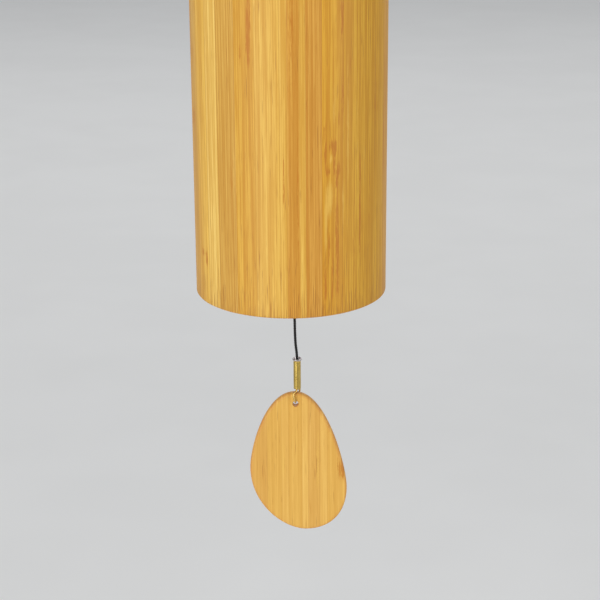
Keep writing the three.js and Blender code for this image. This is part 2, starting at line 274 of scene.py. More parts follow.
def strip_bamboo(name, relief_depth=0.03 * MM, contrast=1.0):
    """Lacquered strips of bamboo, side by side. It reads the piece's flat map in metres, u across the
    strips and v along them, and its attributes: tone, seed, distance to the joints, stains, and the edges'
    burn with painted shade."""
    finish = Finish(name, Specular_IOR_Level=0.28, Coat_Weight=0.05, Coat_Roughness=0.25, Coat_IOR=1.5)
    beside = finish.vector(z=finish.attribute("strip_seed"))
    shifted = finish.node("VectorMath", operation="ADD")
    finish.feed(shifted.inputs[0], finish.uv("flat"))
    finish.feed(shifted.inputs[1], beside)
    grain = shifted.outputs[0]

    cloud = finish.noise(finish.scaled(grain, (60, 24, 5)), detail=2.0)
    broad = finish.noise(finish.scaled(grain, (520, 9, 7)), detail=2.5)
    streaks = finish.noise(finish.scaled(grain, (1900, 14, 13)), detail=4.0, roughness=0.65)
    fibres = finish.noise(finish.scaled(grain, (4200, 60, 19)), detail=2.0, roughness=0.7)
    dashes = finish.noise(finish.scaled(grain, (3300, 90, 31)), detail=2.0, roughness=0.5)
    flames = finish.noise(finish.scaled(grain, (2600, 190, 43)), detail=4.0, roughness=0.7, distortion=0.3)

    tone = finish.attribute("strip_tone", "Color")
    darker = finish.mix(contrast, tone, rgb(0.79, 0.65, 0.44), blend="MULTIPLY")
    lighter = finish.mix(contrast, tone, rgb(1.10, 1.16, 1.30), blend="MULTIPLY")
    colour = finish.mix(finish.ramp(broad, 0.36, 0.64, 0.0, 0.7), tone, darker)
    colour = finish.mix(finish.ramp(streaks, 0.36, 0.48, 0.8, 0.0), colour, lighter)
    colour = finish.mix(finish.ramp(streaks, 0.50, 0.59, 0.0, 0.9), colour, darker)
    colour = finish.mix(finish.ramp(fibres, 0.50, 0.62, 0.0, 0.65), colour, darker)
    colour = finish.mix(finish.spread(cloud, 0.0, 0.25), colour, darker)

    rim = finish.attribute("rim_fibres")
    fewest = finish.spread(rim, 0.66, 0.47)
    dash = finish.ramp(dashes, fewest, finish.math("ADD", fewest, 0.10), 0.0, 0.62)
    colour = finish.mix(dash, colour, FIBRE_BROWN)

    near_pale = finish.attribute("pale")
    pale = finish.ramp(finish.math("ADD", near_pale, finish.spread(flames, -0.5, 0.5)), 0.25, 0.8)
    pale = finish.math("MULTIPLY", pale, finish.ramp(near_pale, 0.05, 0.3))
    colour = finish.mix(finish.math("MULTIPLY", pale, 0.7), colour, PALE_HONEY)
    near_stain = finish.attribute("stain")
    stain = finish.ramp(finish.math("ADD", near_stain, finish.spread(flames, -1.3, 1.3)), 0.05, 0.55)
    stain = finish.math("MULTIPLY", stain, finish.ramp(near_stain, 0.04, 0.35))
    colour = finish.mix(finish.math("MULTIPLY", stain, 0.95), colour, STAIN_BROWN)

    joint = finish.ramp(finish.attribute("strip_edge"), 0.02 * MM, 0.16 * MM, 1.0, 0.0)
    colour = finish.mix(finish.math("MULTIPLY", joint, 0.16), colour, FIBRE_BROWN)
    # The cut edges are burnt orange. The same colour is laid on as painted shade, strongest on the side walls
    # and in the holes.
    burn_and_shade = finish.math("MULTIPLY", finish.attribute("worn_edge"), finish.ramp(streaks, 0.4, 0.58, 0.25, 0.85))
    colour = finish.mix(burn_and_shade, colour, BURNT_AND_SHADED_EDGE)
    relief = finish.math("ADD", finish.math("MULTIPLY", fibres, 0.5), finish.math("MULTIPLY", streaks, 0.5))
    relief = finish.math("SUBTRACT", relief, finish.math("MULTIPLY", joint, 0.8))
    return finish.surface(colour, finish.spread(fibres, 0.42, 0.6), relief, relief_depth, 0.55)


def layered_edge():
    """The tube's cut ends, where the rolled sheets show as rings, dotted with the ends of the fibres."""
    finish = Finish("bamboo cut edge", Coat_Weight=0.1, Coat_Roughness=0.35)
    ring = finish.noise(finish.vector(finish.math("MULTIPLY", finish.from_axis(), 2200)), detail=1.0)
    dots = finish.mottle((3600, 3600, 900))
    colour = finish.mix(finish.ramp(ring, 0.35, 0.65), HONEY, STRAW)
    colour = finish.mix(finish.ramp(dots, 0.52, 0.66, 0.0, 0.6), colour, FIBRE_BROWN)
    return finish.surface(colour, finish.spread(dots, 0.45, 0.7), dots, 0.04 * MM, 0.6)


def bare_inside():
    """The tube's inside: bare, paler and drier than the lacquered face."""
    finish = Finish("bamboo bare inside")
    flat = finish.uv("flat")
    streaks = finish.noise(finish.scaled(flat, (900, 16, 3)), detail=3.0, roughness=0.6)
    fibres = finish.noise(finish.scaled(flat, (3800, 60, 11)), detail=2.0, roughness=0.7)
    colour = finish.mix(finish.ramp(streaks, 0.35, 0.7), PALE_HONEY, TAN)
    colour = finish.mix(finish.ramp(fibres, 0.55, 0.75, 0.0, 0.45), colour, FIBRE_BROWN)
    return finish.surface(colour, finish.spread(fibres, 0.6, 0.8), fibres, 0.05 * MM, 0.7)


# ---------------------------------------------------------------- metals, acrylic and cord


def turned_brass():
    """Brass faced on a lathe: fine rings round the axis, and a little tarnish."""
    finish = Finish("turned brass", Metallic=1.0)
    rings = finish.noise(finish.vector(finish.math("MULTIPLY", finish.from_axis(), 5200)), detail=2.0)
    tarnish = finish.mottle((140, 140, 140), detail=4.0)
    colour = finish.mix(finish.ramp(tarnish, 0.42, 0.68), rgb(0.78, 0.56, 0.22), rgb(0.52, 0.33, 0.11))
    roughness = finish.math("ADD", finish.spread(rings, 0.16, 0.34), finish.spread(tarnish, 0, 0.12))
    return finish.surface(colour, roughness, rings, 0.012 * MM, 0.5)


def drawn_steel():
    """Bright drawn rod: fine lines along it, and a straw and blue tint below the solder's heat."""
    finish = Finish("drawn steel", Metallic=1.0)
    lines = finish.mottle((9000, 9000, 45))
    blotch = finish.mottle((260, 260, 60), detail=3.0)
    height = finish.math("ADD", finish.height(), finish.spread(blotch, -1.2 * MM, 1.2 * MM))
    straw = finish.ramp(height, PLATE_BOTTOM - 13 * MM, PLATE_BOTTOM - 4 * MM)
    blue = finish.ramp(height, PLATE_BOTTOM - 5 * MM, PLATE_BOTTOM - 1.5 * MM)
    colour = finish.mix(finish.ramp(blotch, 0.4, 0.7), rgb(0.60, 0.61, 0.62), rgb(0.50, 0.50, 0.50))
    colour = finish.mix(finish.math("MULTIPLY", straw, 0.7), colour, rgb(0.56, 0.42, 0.22))
    colour = finish.mix(finish.math("MULTIPLY", blue, 0.75), colour, rgb(0.26, 0.25, 0.33))
    roughness = finish.math("ADD", finish.spread(lines, 0.14, 0.28), finish.spread(blotch, 0, 0.1))
    return finish.surface(colour, roughness, lines, 0.01 * MM, 0.5)


def flowed_solder():
    """Silver solder as it set: finely pitted, and browned in places by the flux."""
    finish = Finish("silver solder", Metallic=1.0)
    pits = finish.mottle((1500, 1500, 1500), detail=3.0)
    flux = finish.mottle((420, 420, 700))
    colour = finish.mix(finish.ramp(flux, 0.48, 0.7), rgb(0.68, 0.67, 0.64), rgb(0.40, 0.31, 0.20))
    return finish.surface(colour, finish.spread(pits, 0.2, 0.5), pits, 0.05 * MM, 0.6)


def plain_steel():
    """Screws and spacers: lightly oiled steel with turning marks."""
    finish = Finish("plain steel", Metallic=1.0)
    marks = finish.mottle((700, 700, 6000))
    stain = finish.mottle((500, 500, 500), detail=3.0)
    colour = finish.mix(finish.ramp(stain, 0.45, 0.7), rgb(0.50, 0.51, 0.52), rgb(0.33, 0.31, 0.29))
    return finish.surface(colour, finish.spread(marks, 0.24, 0.44), marks, 0.012 * MM, 0.5)


def sleeve_brass():
    """Bright brass tube whose flared lip is left silvery by its plating."""
    finish = Finish("sleeve brass", Metallic=1.0)
    lines = finish.mottle((5200, 5200, 260))
    wear = finish.mottle((900, 900, 420), detail=3.0)
    lip_foot = highest("sleeve").z - 0.8 * MM
    height = finish.math("ADD", finish.height(), finish.spread(wear, -0.25 * MM, 0.25 * MM))
    lip = finish.ramp(height, lip_foot - 0.1 * MM, lip_foot + 0.2 * MM)
    brass = finish.mix(finish.ramp(wear, 0.42, 0.7), rgb(0.70, 0.50, 0.13), rgb(0.58, 0.39, 0.09))
    colour = finish.mix(lip, brass, rgb(0.46, 0.43, 0.44))
    roughness = finish.math("ADD", finish.spread(lines, 0.2, 0.3), finish.spread(wear, 0, 0.05))
    return finish.surface(colour, roughness, lines, 0.002 * MM, 0.25)


def wire_brass():
    """Brass wire, dulled in patches by handling."""
    finish = Finish("brass wire", Metallic=1.0)
    scuffs = finish.mottle((2600, 2600, 2600), detail=3.0)
    tarnish = finish.mottle((500, 500, 500))
    colour = finish.mix(finish.ramp(tarnish, 0.4, 0.7), rgb(0.72, 0.50, 0.16), rgb(0.46, 0.29, 0.08))
    return finish.surface(colour, finish.spread(scuffs, 0.2, 0.4), scuffs, 0.01 * MM, 0.5)


def clear_acrylic():
    """A clear disc, polished on its faces and rubbed dull where the rods strike its edge."""
    finish = Finish("clear acrylic", IOR=1.49, Transmission_Weight=1.0, Specular_IOR_Level=0.5)
    haze = finish.mottle((900, 900, 900), detail=4.0)
    scratches = finish.mottle((260, 5200, 260))
    rubbed = finish.ramp(finish.from_axis(), 13.3 * MM, 13.8 * MM, 0.0, 0.28)
    roughness = finish.math("ADD", rubbed, finish.spread(haze, 0.01, 0.07))
    return finish.surface(rgb(0.97, 0.985, 0.98), roughness, scratches, 0.004 * MM, 0.4)


def braided_cord():
    """Black braided cord. Its filaments run along each strand, and rubbed ones show grey."""
    finish = Finish("black braided cord", Sheen_Weight=0.06, Sheen_Roughness=0.4, Specular_IOR_Level=0.3)
    lay = finish.vector(finish.attribute("across"), finish.attribute("along"))
    filaments = finish.noise(finish.scaled(lay, (26, 1400, 1)), detail=2.0, roughness=0.6)
    rubbed = finish.noise(finish.scaled(lay, (3, 420, 9)), detail=2.0)
    colour = finish.mix(finish.ramp(rubbed, 0.5, 0.75), rgb(0.006, 0.006, 0.007), rgb(0.018, 0.017, 0.017))
    colour = finish.mix(finish.ramp(filaments, 0.55, 0.8, 0.0, 0.5), colour, rgb(0.03, 0.029, 0.028))
    return finish.surface(colour, finish.spread(filaments, 0.42, 0.68), filaments, 0.02 * MM, 0.7)


VENEER = strip_bamboo("bamboo veneer")
SAIL_BAMBOO = strip_bamboo("sail bamboo", relief_depth=0.02 * MM, contrast=0.55)
BOARD_BAMBOO = strip_bamboo("turned bamboo board", relief_depth=0.05 * MM)
CUT_EDGE = layered_edge()
BARE_INSIDE = bare_inside()
TURNED_BRASS = turned_brass()
DRAWN_STEEL = drawn_steel()
SOLDER = flowed_solder()
PLAIN_STEEL = plain_steel()
SLEEVE_BRASS = sleeve_brass()
WIRE_BRASS = wire_brass()
ACRYLIC = clear_acrylic()
BLACK_CORD = braided_cord()

# ---------------------------------------------------------------- meshes


def add_object(name, mesh, material=None):
    piece = bpy.data.objects.new(name, mesh)
    bpy.context.scene.collection.objects.link(piece)
    if material is not None:
        mesh.materials.append(material)
    return piece


def mesh_of(name, points, faces, edges=()):
    mesh = bpy.data.meshes.new(name)
    mesh.from_pydata([tuple(map(float, p)) for p in points], list(edges), [tuple(map(int, f)) for f in faces])
    mesh.update()
    return mesh


def soften(mesh, sharp_above=32):
    """Smooth shading, except where two faces meet at more than the given angle."""
    work = bmesh.new()
    work.from_mesh(mesh)
    for face in work.faces:
        face.smooth = True
    for edge in work.edges:
        edge.smooth = edge.calc_face_angle(0) < math.radians(sharp_above)
    work.to_mesh(mesh)
    work.free()
    return mesh


def store(mesh, name, values, domain="POINT", kind="FLOAT"):
    layer = mesh.attributes.new(name, kind, domain)
    layer.data.foreach_set("color" if kind == "FLOAT_COLOR" else "value", np.ravel(values).astype(np.float32))


def store_flat_map(mesh, u, v):
    """The piece's flat map in metres, from one u and v for each point."""
    corner_points = np.empty(len(mesh.loops), np.int32)
    mesh.loops.foreach_get("vertex_index", corner_points)
    layer = mesh.uv_layers.new(name="flat")
    layer.uv.foreach_set("vector", np.column_stack([u, v])[corner_points].astype(np.float32).ravel())


def finish_piece(piece, body, slot, *nodes):
    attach(piece, body)
    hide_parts(*nodes)
    return piece


def eased(corners, steps=4):
    """A profile whose (radius, height, ease) corners are each cut back to a short curve."""
    places = [np.array(corner[:2], float) for corner in corners]
    profile = []
    for i, (x, z, ease) in enumerate(corners):
        here = places[i]
        if ease == 0:
            profile.append((x, z))
            continue
        before, after = places[i - 1], places[(i + 1) % len(places)]
        start = here + ease * (before - here) / np.linalg.norm(before - here)
        end = here + ease * (after - here) / np.linalg.norm(after - here)
        for t in np.linspace(0, 1, steps + 1):
            profile.append(tuple((1 - t) ** 2 * start + 2 * t * (1 - t) * here + t * t * end))
    return profile


def turned(name, profile, segments, ring=False, centre=(0, 0)):
    """A profile of (radius, height) pairs, in millimetres, turned about an upright line. It runs up the
    outside. A ring's profile comes back down its bore, and any other starts and ends on the line."""
    points, circles = [], []
    for radius, height in [(r * MM, z * MM) for r, z in profile]:
        if radius < 1e-7:
            circles.append([len(points)] * segments)
            points.append((centre[0], centre[1], height))
            continue
        circles.append(range(len(points), len(points) + segments))
        for i in range(segments):
            angle = FULL_TURN * i / segments
            x, y = radius * math.cos(angle), radius * math.sin(angle)
            points.append((centre[0] + x, centre[1] + y, height))
    faces = []
    for lower, upper in zip(circles, circles[1:] + ([circles[0]] if ring else [])):
        for i in range(segments):
            j = (i + 1) % segments
            face = list(dict.fromkeys([lower[i], lower[j], upper[j], upper[i]]))
            if len(face) > 2:
                faces.append(face)
    return mesh_of(name, points, faces)


# ---------------------------------------------------------------- Geometry Nodes

SOCKETS = {"Float": "NodeSocketFloat", "Int": "NodeSocketInt", "Material": "NodeSocketMaterial"}


class Tree:
    """A Geometry Nodes tree with named inputs. It ends in Realize Instances and Set Material."""

    def __init__(self, name, **inputs):
        self.tree = bpy.data.node_groups.new(name, "GeometryNodeTree")
        face = self.tree.interface
        face.new_socket("Geometry", in_out="INPUT", socket_type="NodeSocketGeometry")
        face.new_socket("Geometry", in_out="OUTPUT", socket_type="NodeSocketGeometry")
        for label, kind in inputs.items():
            face.new_socket(label.replace("_", " "), in_out="INPUT", socket_type=SOCKETS[kind])
        self.start = self.tree.nodes.new("NodeGroupInput")
        self.end = self.tree.nodes.new("NodeGroupOutput")

    def given(self, label):
        return self.start.outputs[label]

    def node(self, kind, settings=None, **inputs):
        """Makes a node. Each input is a value or another node's output."""
        made = self.tree.nodes.new(kind)
        for key, value in (settings or {}).items():
            setattr(made, key, value)
        for label, value in inputs.items():
            self.feed(made.inputs[label.replace("_", " ")], value)
        return made

    def feed(self, socket, value):
        if isinstance(value, bpy.types.NodeSocket):
            self.tree.links.new(value, socket)
        elif value is not None:
            socket.default_value = value

    def math(self, operation, a, b=0.0):
        made = self.tree.nodes.new("ShaderNodeMath")
        made.operation = operation
        self.feed(made.inputs[0], a)
        self.feed(made.inputs[1], b)
        return made.outputs[0]

    def vectors(self, operation, a, b=None, scale=None):
        made = self.tree.nodes.new("ShaderNodeVectorMath")
        made.operation = operation
        self.feed(made.inputs[0], a)
        self.feed(made.inputs[1], b)
        if scale is not None:
            self.feed(made.inputs["Scale"], scale)
        return made.outputs["Vector"]

    def read(self, name):
        made = self.node("GeometryNodeInputNamedAttribute", {"data_type": "FLOAT"}, Name=name)
        return made.outputs["Attribute"]

    def keep(self, geometry, name, value):
        kind = {"data_type": "FLOAT", "domain": "POINT"}
        made = self.node("GeometryNodeStoreNamedAttribute", kind, Geometry=geometry, Name=name, Value=value)
        return made.outputs[0]

    def finish(self, geometry, zones=(("Material", None),)):
        """Realizes, then paints each zone: the whole of it, or the faces that the selection picks."""
        made = self.node("GeometryNodeRealizeInstances", Geometry=geometry).outputs[0]
        for label, selection in zones:
            made = self.node("GeometryNodeSetMaterial", Geometry=made, Material=self.given(label),
                             Selection=selection).outputs[0]
        self.feed(self.end.inputs[0], made)
        return self.tree


def grown(name, source, tree, **inputs):
    """Runs the tree on the source object and gives back the result as a plain mesh piece."""
    modifier = source.modifiers.new("grow", "NODES")
    modifier.node_group = tree
    for item in tree.interface.items_tree:
        label = item.name.replace(" ", "_")
        if item.in_out == "INPUT" and label in inputs:
            modifier[item.identifier] = inputs[label]
    view = bpy.context.evaluated_depsgraph_get()
    mesh = bpy.data.meshes.new_from_object(source.evaluated_get(view), depsgraph=view)
    mesh.name = name
    source.modifiers.remove(modifier)
    bpy.data.objects.remove(source)
    return add_object(name, mesh)


def path_object(*routes, shares=None):
    """Open lines through the points of each route, with each point's share of the full thickness."""
    points = [point for route in routes for point in route]
    edges, first = [], 0
    for route in routes:
        edges += [(first + i, first + i + 1) for i in range(len(route) - 1)]
        first += len(route)
    mesh = mesh_of("route", points, [], edges)
    store(mesh, "share", np.ones(len(points)) if shares is None else shares)
    return add_object("route", mesh)


def braid_tree():
    """Braided cord along a route: two sets of flat strands wind round a core in opposite ways, and
    each strand goes over one crossing and under the next."""
    t = Tree("braided cord", Diameter="Float", Pitch="Float", Strands_Each_Way="Int",
             Strand_Width="Float", Strand_Thickness="Float", Step="Float", Material="Material")
    line = t.node("GeometryNodeMeshToCurve", Mesh=t.given("Geometry")).outputs[0]
    line = t.node("GeometryNodeResampleCurve", {"mode": "LENGTH"}, Curve=line,
                  Length=t.given("Step")).outputs[0]
    line = t.node("GeometryNodeSetCurveNormal", {"mode": "MINIMUM_TWIST"}, Curve=line).outputs[0]
    along = t.node("GeometryNodeSplineParameter").outputs["Length"]
    line = t.keep(line, "along", along)

    strands = t.given("Strands Each Way")
    copies = t.node("GeometryNodeDuplicateElements", {"domain": "SPLINE"}, Geometry=line,
                    Amount=t.math("MULTIPLY", strands, 2))
    index = copies.outputs["Duplicate Index"]
    way = t.math("SUBTRACT", t.math("MULTIPLY", t.math("LESS_THAN", index, strands), 2), 1)
    wound = t.math("MULTIPLY", t.math("DIVIDE", t.read("along"), t.given("Pitch")), FULL_TURN)
    phase = t.math("DIVIDE", t.math("MULTIPLY", index, FULL_TURN), strands)
    angle = t.math("ADD", t.math("MULTIPLY", wound, way), phase)
    weave = t.math("MULTIPLY", t.math("COSINE", t.math("MULTIPLY", wound, strands)), way)
    half_strand = t.math("MULTIPLY", t.given("Strand Thickness"), 0.5)
    outermost = t.math("SUBTRACT", t.math("MULTIPLY", t.given("Diameter"), 0.52), half_strand)
    sway = t.math("MULTIPLY", t.given("Strand Thickness"), 0.35)
    reach = t.math("ADD", t.math("SUBTRACT", outermost, sway), t.math("MULTIPLY", weave, sway))

    normal = t.node("GeometryNodeInputNormal").outputs["Normal"]
    tangent = t.node("GeometryNodeInputTangent").outputs[0]
    side = t.vectors("CROSS_PRODUCT", tangent, normal)
    outwards = t.vectors("ADD", t.vectors("SCALE", normal, scale=t.math("COSINE", angle)),
                         t.vectors("SCALE", side, scale=t.math("SINE", angle)))
    stored = t.node("GeometryNodeStoreNamedAttribute", {"data_type": "FLOAT_VECTOR", "domain": "POINT"},
                    Geometry=copies.outputs["Geometry"], Name="outwards", Value=outwards).outputs[0]
    wound_line = t.node("GeometryNodeSetPosition", Geometry=stored,
                        Offset=t.vectors("SCALE", outwards, scale=reach)).outputs[0]
    facing = t.node("GeometryNodeInputNamedAttribute", {"data_type": "FLOAT_VECTOR"}, Name="outwards")
    wound_line = t.node("GeometryNodeSetCurveNormal", {"mode": "FREE"}, Curve=wound_line,
                        Normal=facing.outputs[0]).outputs[0]

    ring = t.node("GeometryNodeCurvePrimitiveCircle", {"mode": "RADIUS"}, Resolution=6, Radius=0.5).outputs[0]
    ring = t.keep(ring, "across", t.node("GeometryNodeSplineParameter").outputs["Factor"])
    size = t.node("ShaderNodeCombineXYZ", X=t.given("Strand Thickness"), Y=t.given("Strand Width"), Z=1.0)
    flat_ring = t.node("GeometryNodeTransform", Geometry=ring, Scale=size.outputs[0]).outputs[0]
    strand = t.node("GeometryNodeCurveToMesh", Curve=wound_line, Profile_Curve=flat_ring,
                    Fill_Caps=True).outputs[0]
    core_radius = t.math("SUBTRACT", outermost, sway)
    core_ring = t.node("GeometryNodeCurvePrimitiveCircle", {"mode": "RADIUS"}, Resolution=8,
                       Radius=core_radius).outputs[0]
    core_line = t.node("GeometryNodeResampleCurve", {"mode": "LENGTH"}, Curve=line,
                       Length=t.math("MULTIPLY", t.given("Step"), 3)).outputs[0]
    core = t.node("GeometryNodeCurveToMesh", Curve=core_line, Profile_Curve=core_ring,
                  Fill_Caps=True).outputs[0]
    joined = t.node("GeometryNodeJoinGeometry")
    for part in (core, strand):
        t.tree.links.new(part, joined.inputs[0])
    smooth = t.node("GeometryNodeSetShadeSmooth", {"domain": "FACE"}, Geometry=joined.outputs[0]).outputs[0]
    return t.finish(smooth)


def bar_tree():
    """Round bar along each route. A point's share thins the bar there, as at a ground tip."""
    t = Tree("round bar", Diameter="Float", Sides="Int", Material="Material")
    line = t.node("GeometryNodeMeshToCurve", Mesh=t.given("Geometry")).outputs[0]
    line = t.node("GeometryNodeSetCurveNormal", {"mode": "MINIMUM_TWIST"}, Curve=line).outputs[0]
    ring = t.node("GeometryNodeCurvePrimitiveCircle", {"mode": "RADIUS"}, Resolution=t.given("Sides"),
                  Radius=t.math("MULTIPLY", t.given("Diameter"), 0.5)).outputs[0]
    bar = t.node("GeometryNodeCurveToMesh", Curve=line, Profile_Curve=ring, Scale=t.read("share"),
                 Fill_Caps=True).outputs[0]
    return t.finish(bar)


def ring_tree():
    """Copies of a piece in a ring about the axis, each turned a little and, if asked, made uneven."""
    t = Tree("ring of pieces", Count="Int", Circle_Radius="Float", First_Angle="Float",
             Turn_At_Random="Float", Unevenness="Float", Grain_Size="Float", Seed="Int", Material="Material")
    circle = t.node("GeometryNodeMeshCircle", {"fill_type": "NONE"}, Vertices=t.given("Count"),
                    Radius=t.given("Circle Radius")).outputs[0]
    turn = t.node("ShaderNodeCombineXYZ", Z=t.given("First Angle")).outputs[0]
    circle = t.node("GeometryNodeTransform", Geometry=circle, Rotation=turn).outputs[0]
    random = t.node("FunctionNodeRandomValue", {"data_type": "FLOAT"}, Seed=t.given("Seed"))
    turned_by = t.math("MULTIPLY", random.outputs[1], t.given("Turn At Random"))
    copies = t.node("GeometryNodeInstanceOnPoints", Points=circle, Instance=t.given("Geometry"),
                    Rotation=t.node("ShaderNodeCombineXYZ", Z=turned_by).outputs[0]).outputs[0]
    solid = t.node("GeometryNodeRealizeInstances", Geometry=copies).outputs[0]
    lumps = t.node("ShaderNodeTexNoise", Detail=1.0, Scale=t.math("DIVIDE", 1.0, t.given("Grain Size")))
    height = t.math("MULTIPLY", t.math("SUBTRACT", lumps.outputs["Fac"], 0.5), t.given("Unevenness"))
    normal = t.node("GeometryNodeInputNormal").outputs["Normal"]
    solid = t.node("GeometryNodeSetPosition", Geometry=solid,
                   Offset=t.vectors("SCALE", normal, scale=height)).outputs[0]
    return t.finish(solid)


def rolling_tree():
    """Rolls a flat blank into a tube: x runs round it, y is the height off its face, and z stays."""
    t = Tree("rolled tube", Radius="Float", Face="Material", Cut_Edge="Material", Inside="Material")
    flat = t.node("ShaderNodeSeparateXYZ", Vector=t.node("GeometryNodeInputPosition").outputs[0])
    angle = t.math("DIVIDE", flat.outputs["X"], t.given("Radius"))
    radius = t.math("ADD", t.given("Radius"), flat.outputs["Y"])
    across = t.math("MULTIPLY", radius, t.math("SINE", angle))
    back = t.math("MULTIPLY", t.math("MULTIPLY", radius, t.math("COSINE", angle)), -1)
    place = t.node("ShaderNodeCombineXYZ", X=across, Y=back, Z=flat.outputs["Z"]).outputs[0]
    rolled = t.node("GeometryNodeSetPosition", Geometry=t.given("Geometry"), Position=place).outputs[0]
    zone = t.read("wall_zone")
    edge, inside = t.math("GREATER_THAN", zone, 0.5), t.math("GREATER_THAN", zone, 1.5)
    return t.finish(rolled, (("Face", None), ("Cut Edge", edge), ("Inside", inside)))


BRAID = braid_tree()
BAR = bar_tree()
RING = ring_tree()
ROLL = rolling_tree()

# ---------------------------------------------------------------- cords, along the model's routes

STEPS_A_SPAN = 24


def smooth_route(points, spacing):
    """A centripetal Catmull-Rom line through the points, in millimetres, cut into even steps."""
    points = [np.array(p, float) for p in points]
    ends = [2 * points[0] - points[1]] + points + [2 * points[-1] - points[-2]]
    line = []
    for a, b, c, d in zip(ends, ends[1:], ends[2:], ends[3:]):
        ab, bc, cd = (math.sqrt(np.linalg.norm(q - p)) for p, q in ((a, b), (b, c), (c, d)))
        leaving = bc * ((b - a) / ab - (c - a) / (ab + bc) + (c - b) / bc)
        arriving = bc * ((c - b) / bc - (d - b) / (bc + cd) + (d - c) / cd)
        handles = (b, b + leaving / 3, c - arriving / 3, c)
        line += interpolate_bezier(*(Vector(h) for h in handles), STEPS_A_SPAN)[:-1]
    line = np.array(line + [Vector(points[-1])])
    length = np.concatenate([[0], np.cumsum(np.linalg.norm(np.diff(line, axis=0), axis=1))])
    steps = max(2, round(length[-1] / spacing))
    even = np.linspace(0, length[-1], steps + 1)
    return np.column_stack([np.interp(even, length, line[:, k]) for k in range(3)]) * MM


def upright(x, top, bottom):
    return smooth_route([(x, 0, top), (x, 0, (top + bottom) / 2), (x, 0, bottom)], 0.5)


def braided(name, *routes):
    return grown(name, path_object(*routes), BRAID, Diameter=CORD, Pitch=3.4 * MM, Strands_Each_Way=4,
                 Strand_Width=0.36 * MM, Strand_Thickness=0.13 * MM, Step=0.14 * MM, Material=BLACK_CORD)


def hanging_loop_route():
    bottom = in_mm(lowest("hanging_loop").z)
    right_side = [(0.54, 0, bottom), (1.0, 0, bottom + 6), (1.9, 0, bottom + 18), (2.9, 0, bottom + 31),
                  (3.7, 0, bottom + 41), (3.3, 0, bottom + 45.4)]
    left_side = [(-x, y, z) for x, y, z in reversed(right_side)]
    return smooth_route([*right_side, (0, 0, 0.45), *left_side], 0.5)


def clapper_line_route():
    return upright(0, in_mm(highest("clapper_line").z), in_mm(lowest("clapper_line").z))


def sail_line_route():
    top, bottom = in_mm(highest("sail_line").z), in_mm(lowest("sail_line").z)
    mouth, sleeve_top = in_mm(MOUTH), in_mm(highest("sleeve").z)
    sleeve_x = in_mm(middle("sleeve").x)
    return smooth_route([
        (0, 0, top), (0, 0, top - 6), (0.1, 0, top - 24), (0.35, 0, mouth + 44), (0.65, 0, mouth + 20),
        (0.88, 0, mouth), (1.04, 0, mouth - 11), (1.16, 0, mouth - 17), (1.32, 0, mouth - 20),
        (1.58, 0, mouth - 22.4), (sleeve_x, 0, sleeve_top), (sleeve_x, 0, bottom),
    ], 0.5)


loop_route = hanging_loop_route()
clapper_line_path = clapper_line_route()
sail_line_path = sail_line_route()

hanging_loop = braided("hanging_loop_cord", loop_route)
clapper_line = braided("clapper_line_cord", clapper_line_path)
sail_line = braided("sail_line_cord", sail_line_path)


ROUND_A_PAIR = 1.25  # the least radius of a knot's wraps, in millimetres
ROUND_ONE_STRAND = 0.82
PAIR_HALF_GAP = 0.52 * in_mm(CORD)


def knot_route(z, half_width, wraps, inner, start):
    """The cord of one knot, in millimetres: wound downwards round its standing part, then brought up
    across the wraps and tucked in at the top."""
    cord = in_mm(CORD)
    reach = half_width - cord / 2
    points = []
    for t in np.linspace(0, 1, 14 * wraps):
        angle = start + FULL_TURN * wraps * t
        bulge = math.sin(math.pi * t) ** 0.5
        radius = inner + (reach - inner) * 0.45 * bulge
        points.append((radius * math.cos(angle), radius * math.sin(angle), z + reach * (1 - 2 * t)))
    for t in np.linspace(0.12, 1, 12):
        angle = start + math.pi * 0.9 * t
        radius = inner + (reach - inner) * math.sin(math.pi * min(1, t + 0.05)) ** 0.6
        points.append((radius * math.cos(angle), radius * math.sin(angle), z + reach * (2 * t - 1)))
    return smooth_route(points, 0.25)


def make_top_knot():
    z, half = in_mm(middle("top_knot").z), in_mm(highest("top_knot").x)
    core = [upright(side * PAIR_HALF_GAP, z + half, z - half) for side in (-1, 1)]
    return braided("top_knot_cord", *core, knot_route(z, half, 4, ROUND_A_PAIR, start=-1.0))


def make_stopper_knot():
    half = in_mm(highest("stopper_knot").x)
    bottom, top = in_mm(lowest("stopper_knot").z), in_mm(highest("stopper_knot").z)
    z = bottom + half
    strands = [upright(side * PAIR_HALF_GAP, top, z - 1) for side in (-1, 1)]
    strands.append(upright(0, z - 0.5, bottom))
    tail = [(0.6, 1.2, z - 1.0), (1.0, 1.9, z - 1.7), (1.5, 2.6, z - 2.6), (1.7, 3.1, z - 3.8)]
    wraps = knot_route(z, half, 4, ROUND_A_PAIR, start=2.2)
    return braided("stopper_knot_cord", *strands, smooth_route(tail, 0.25), wraps)


def make_single_knot(node, name, start):
    """A knot in one strand. A stem, where the model has one, is the strand through the drilled disc."""
    half = in_mm(highest(node).x)
    bottom, top = in_mm(lowest(node).z), in_mm(highest(node).z)
    return braided(name, upright(0, top, bottom), knot_route(bottom + half, half, 3, ROUND_ONE_STRAND, start))


top_knot = make_top_knot()
stopper_knot = make_stopper_knot()
clapper_knot_upper = make_single_knot("clapper_knot_upper", "clapper_knot_upper_cord", 0.4)
clapper_knot_lower = make_single_knot("clapper_knot_lower", "clapper_knot_lower_cord", 2.9)

finish_piece(hanging_loop, "loop", "cord", "hanging_loop")
finish_piece(top_knot, "top_knot", "cord", "top_knot")
finish_piece(stopper_knot, "stopper_knot", "cord", "stopper_knot")
finish_piece(clapper_line, "clapper", "cord", "clapper_line")
finish_piece(clapper_knot_upper, "clapper", "cord", "clapper_knot_upper")
finish_piece(clapper_knot_lower, "lower_knot", "cord", "clapper_knot_lower")
finish_piece(sail_line, "sail_line", "cord", "sail_line")

# ---------------------------------------------------------------- the strips and their figure


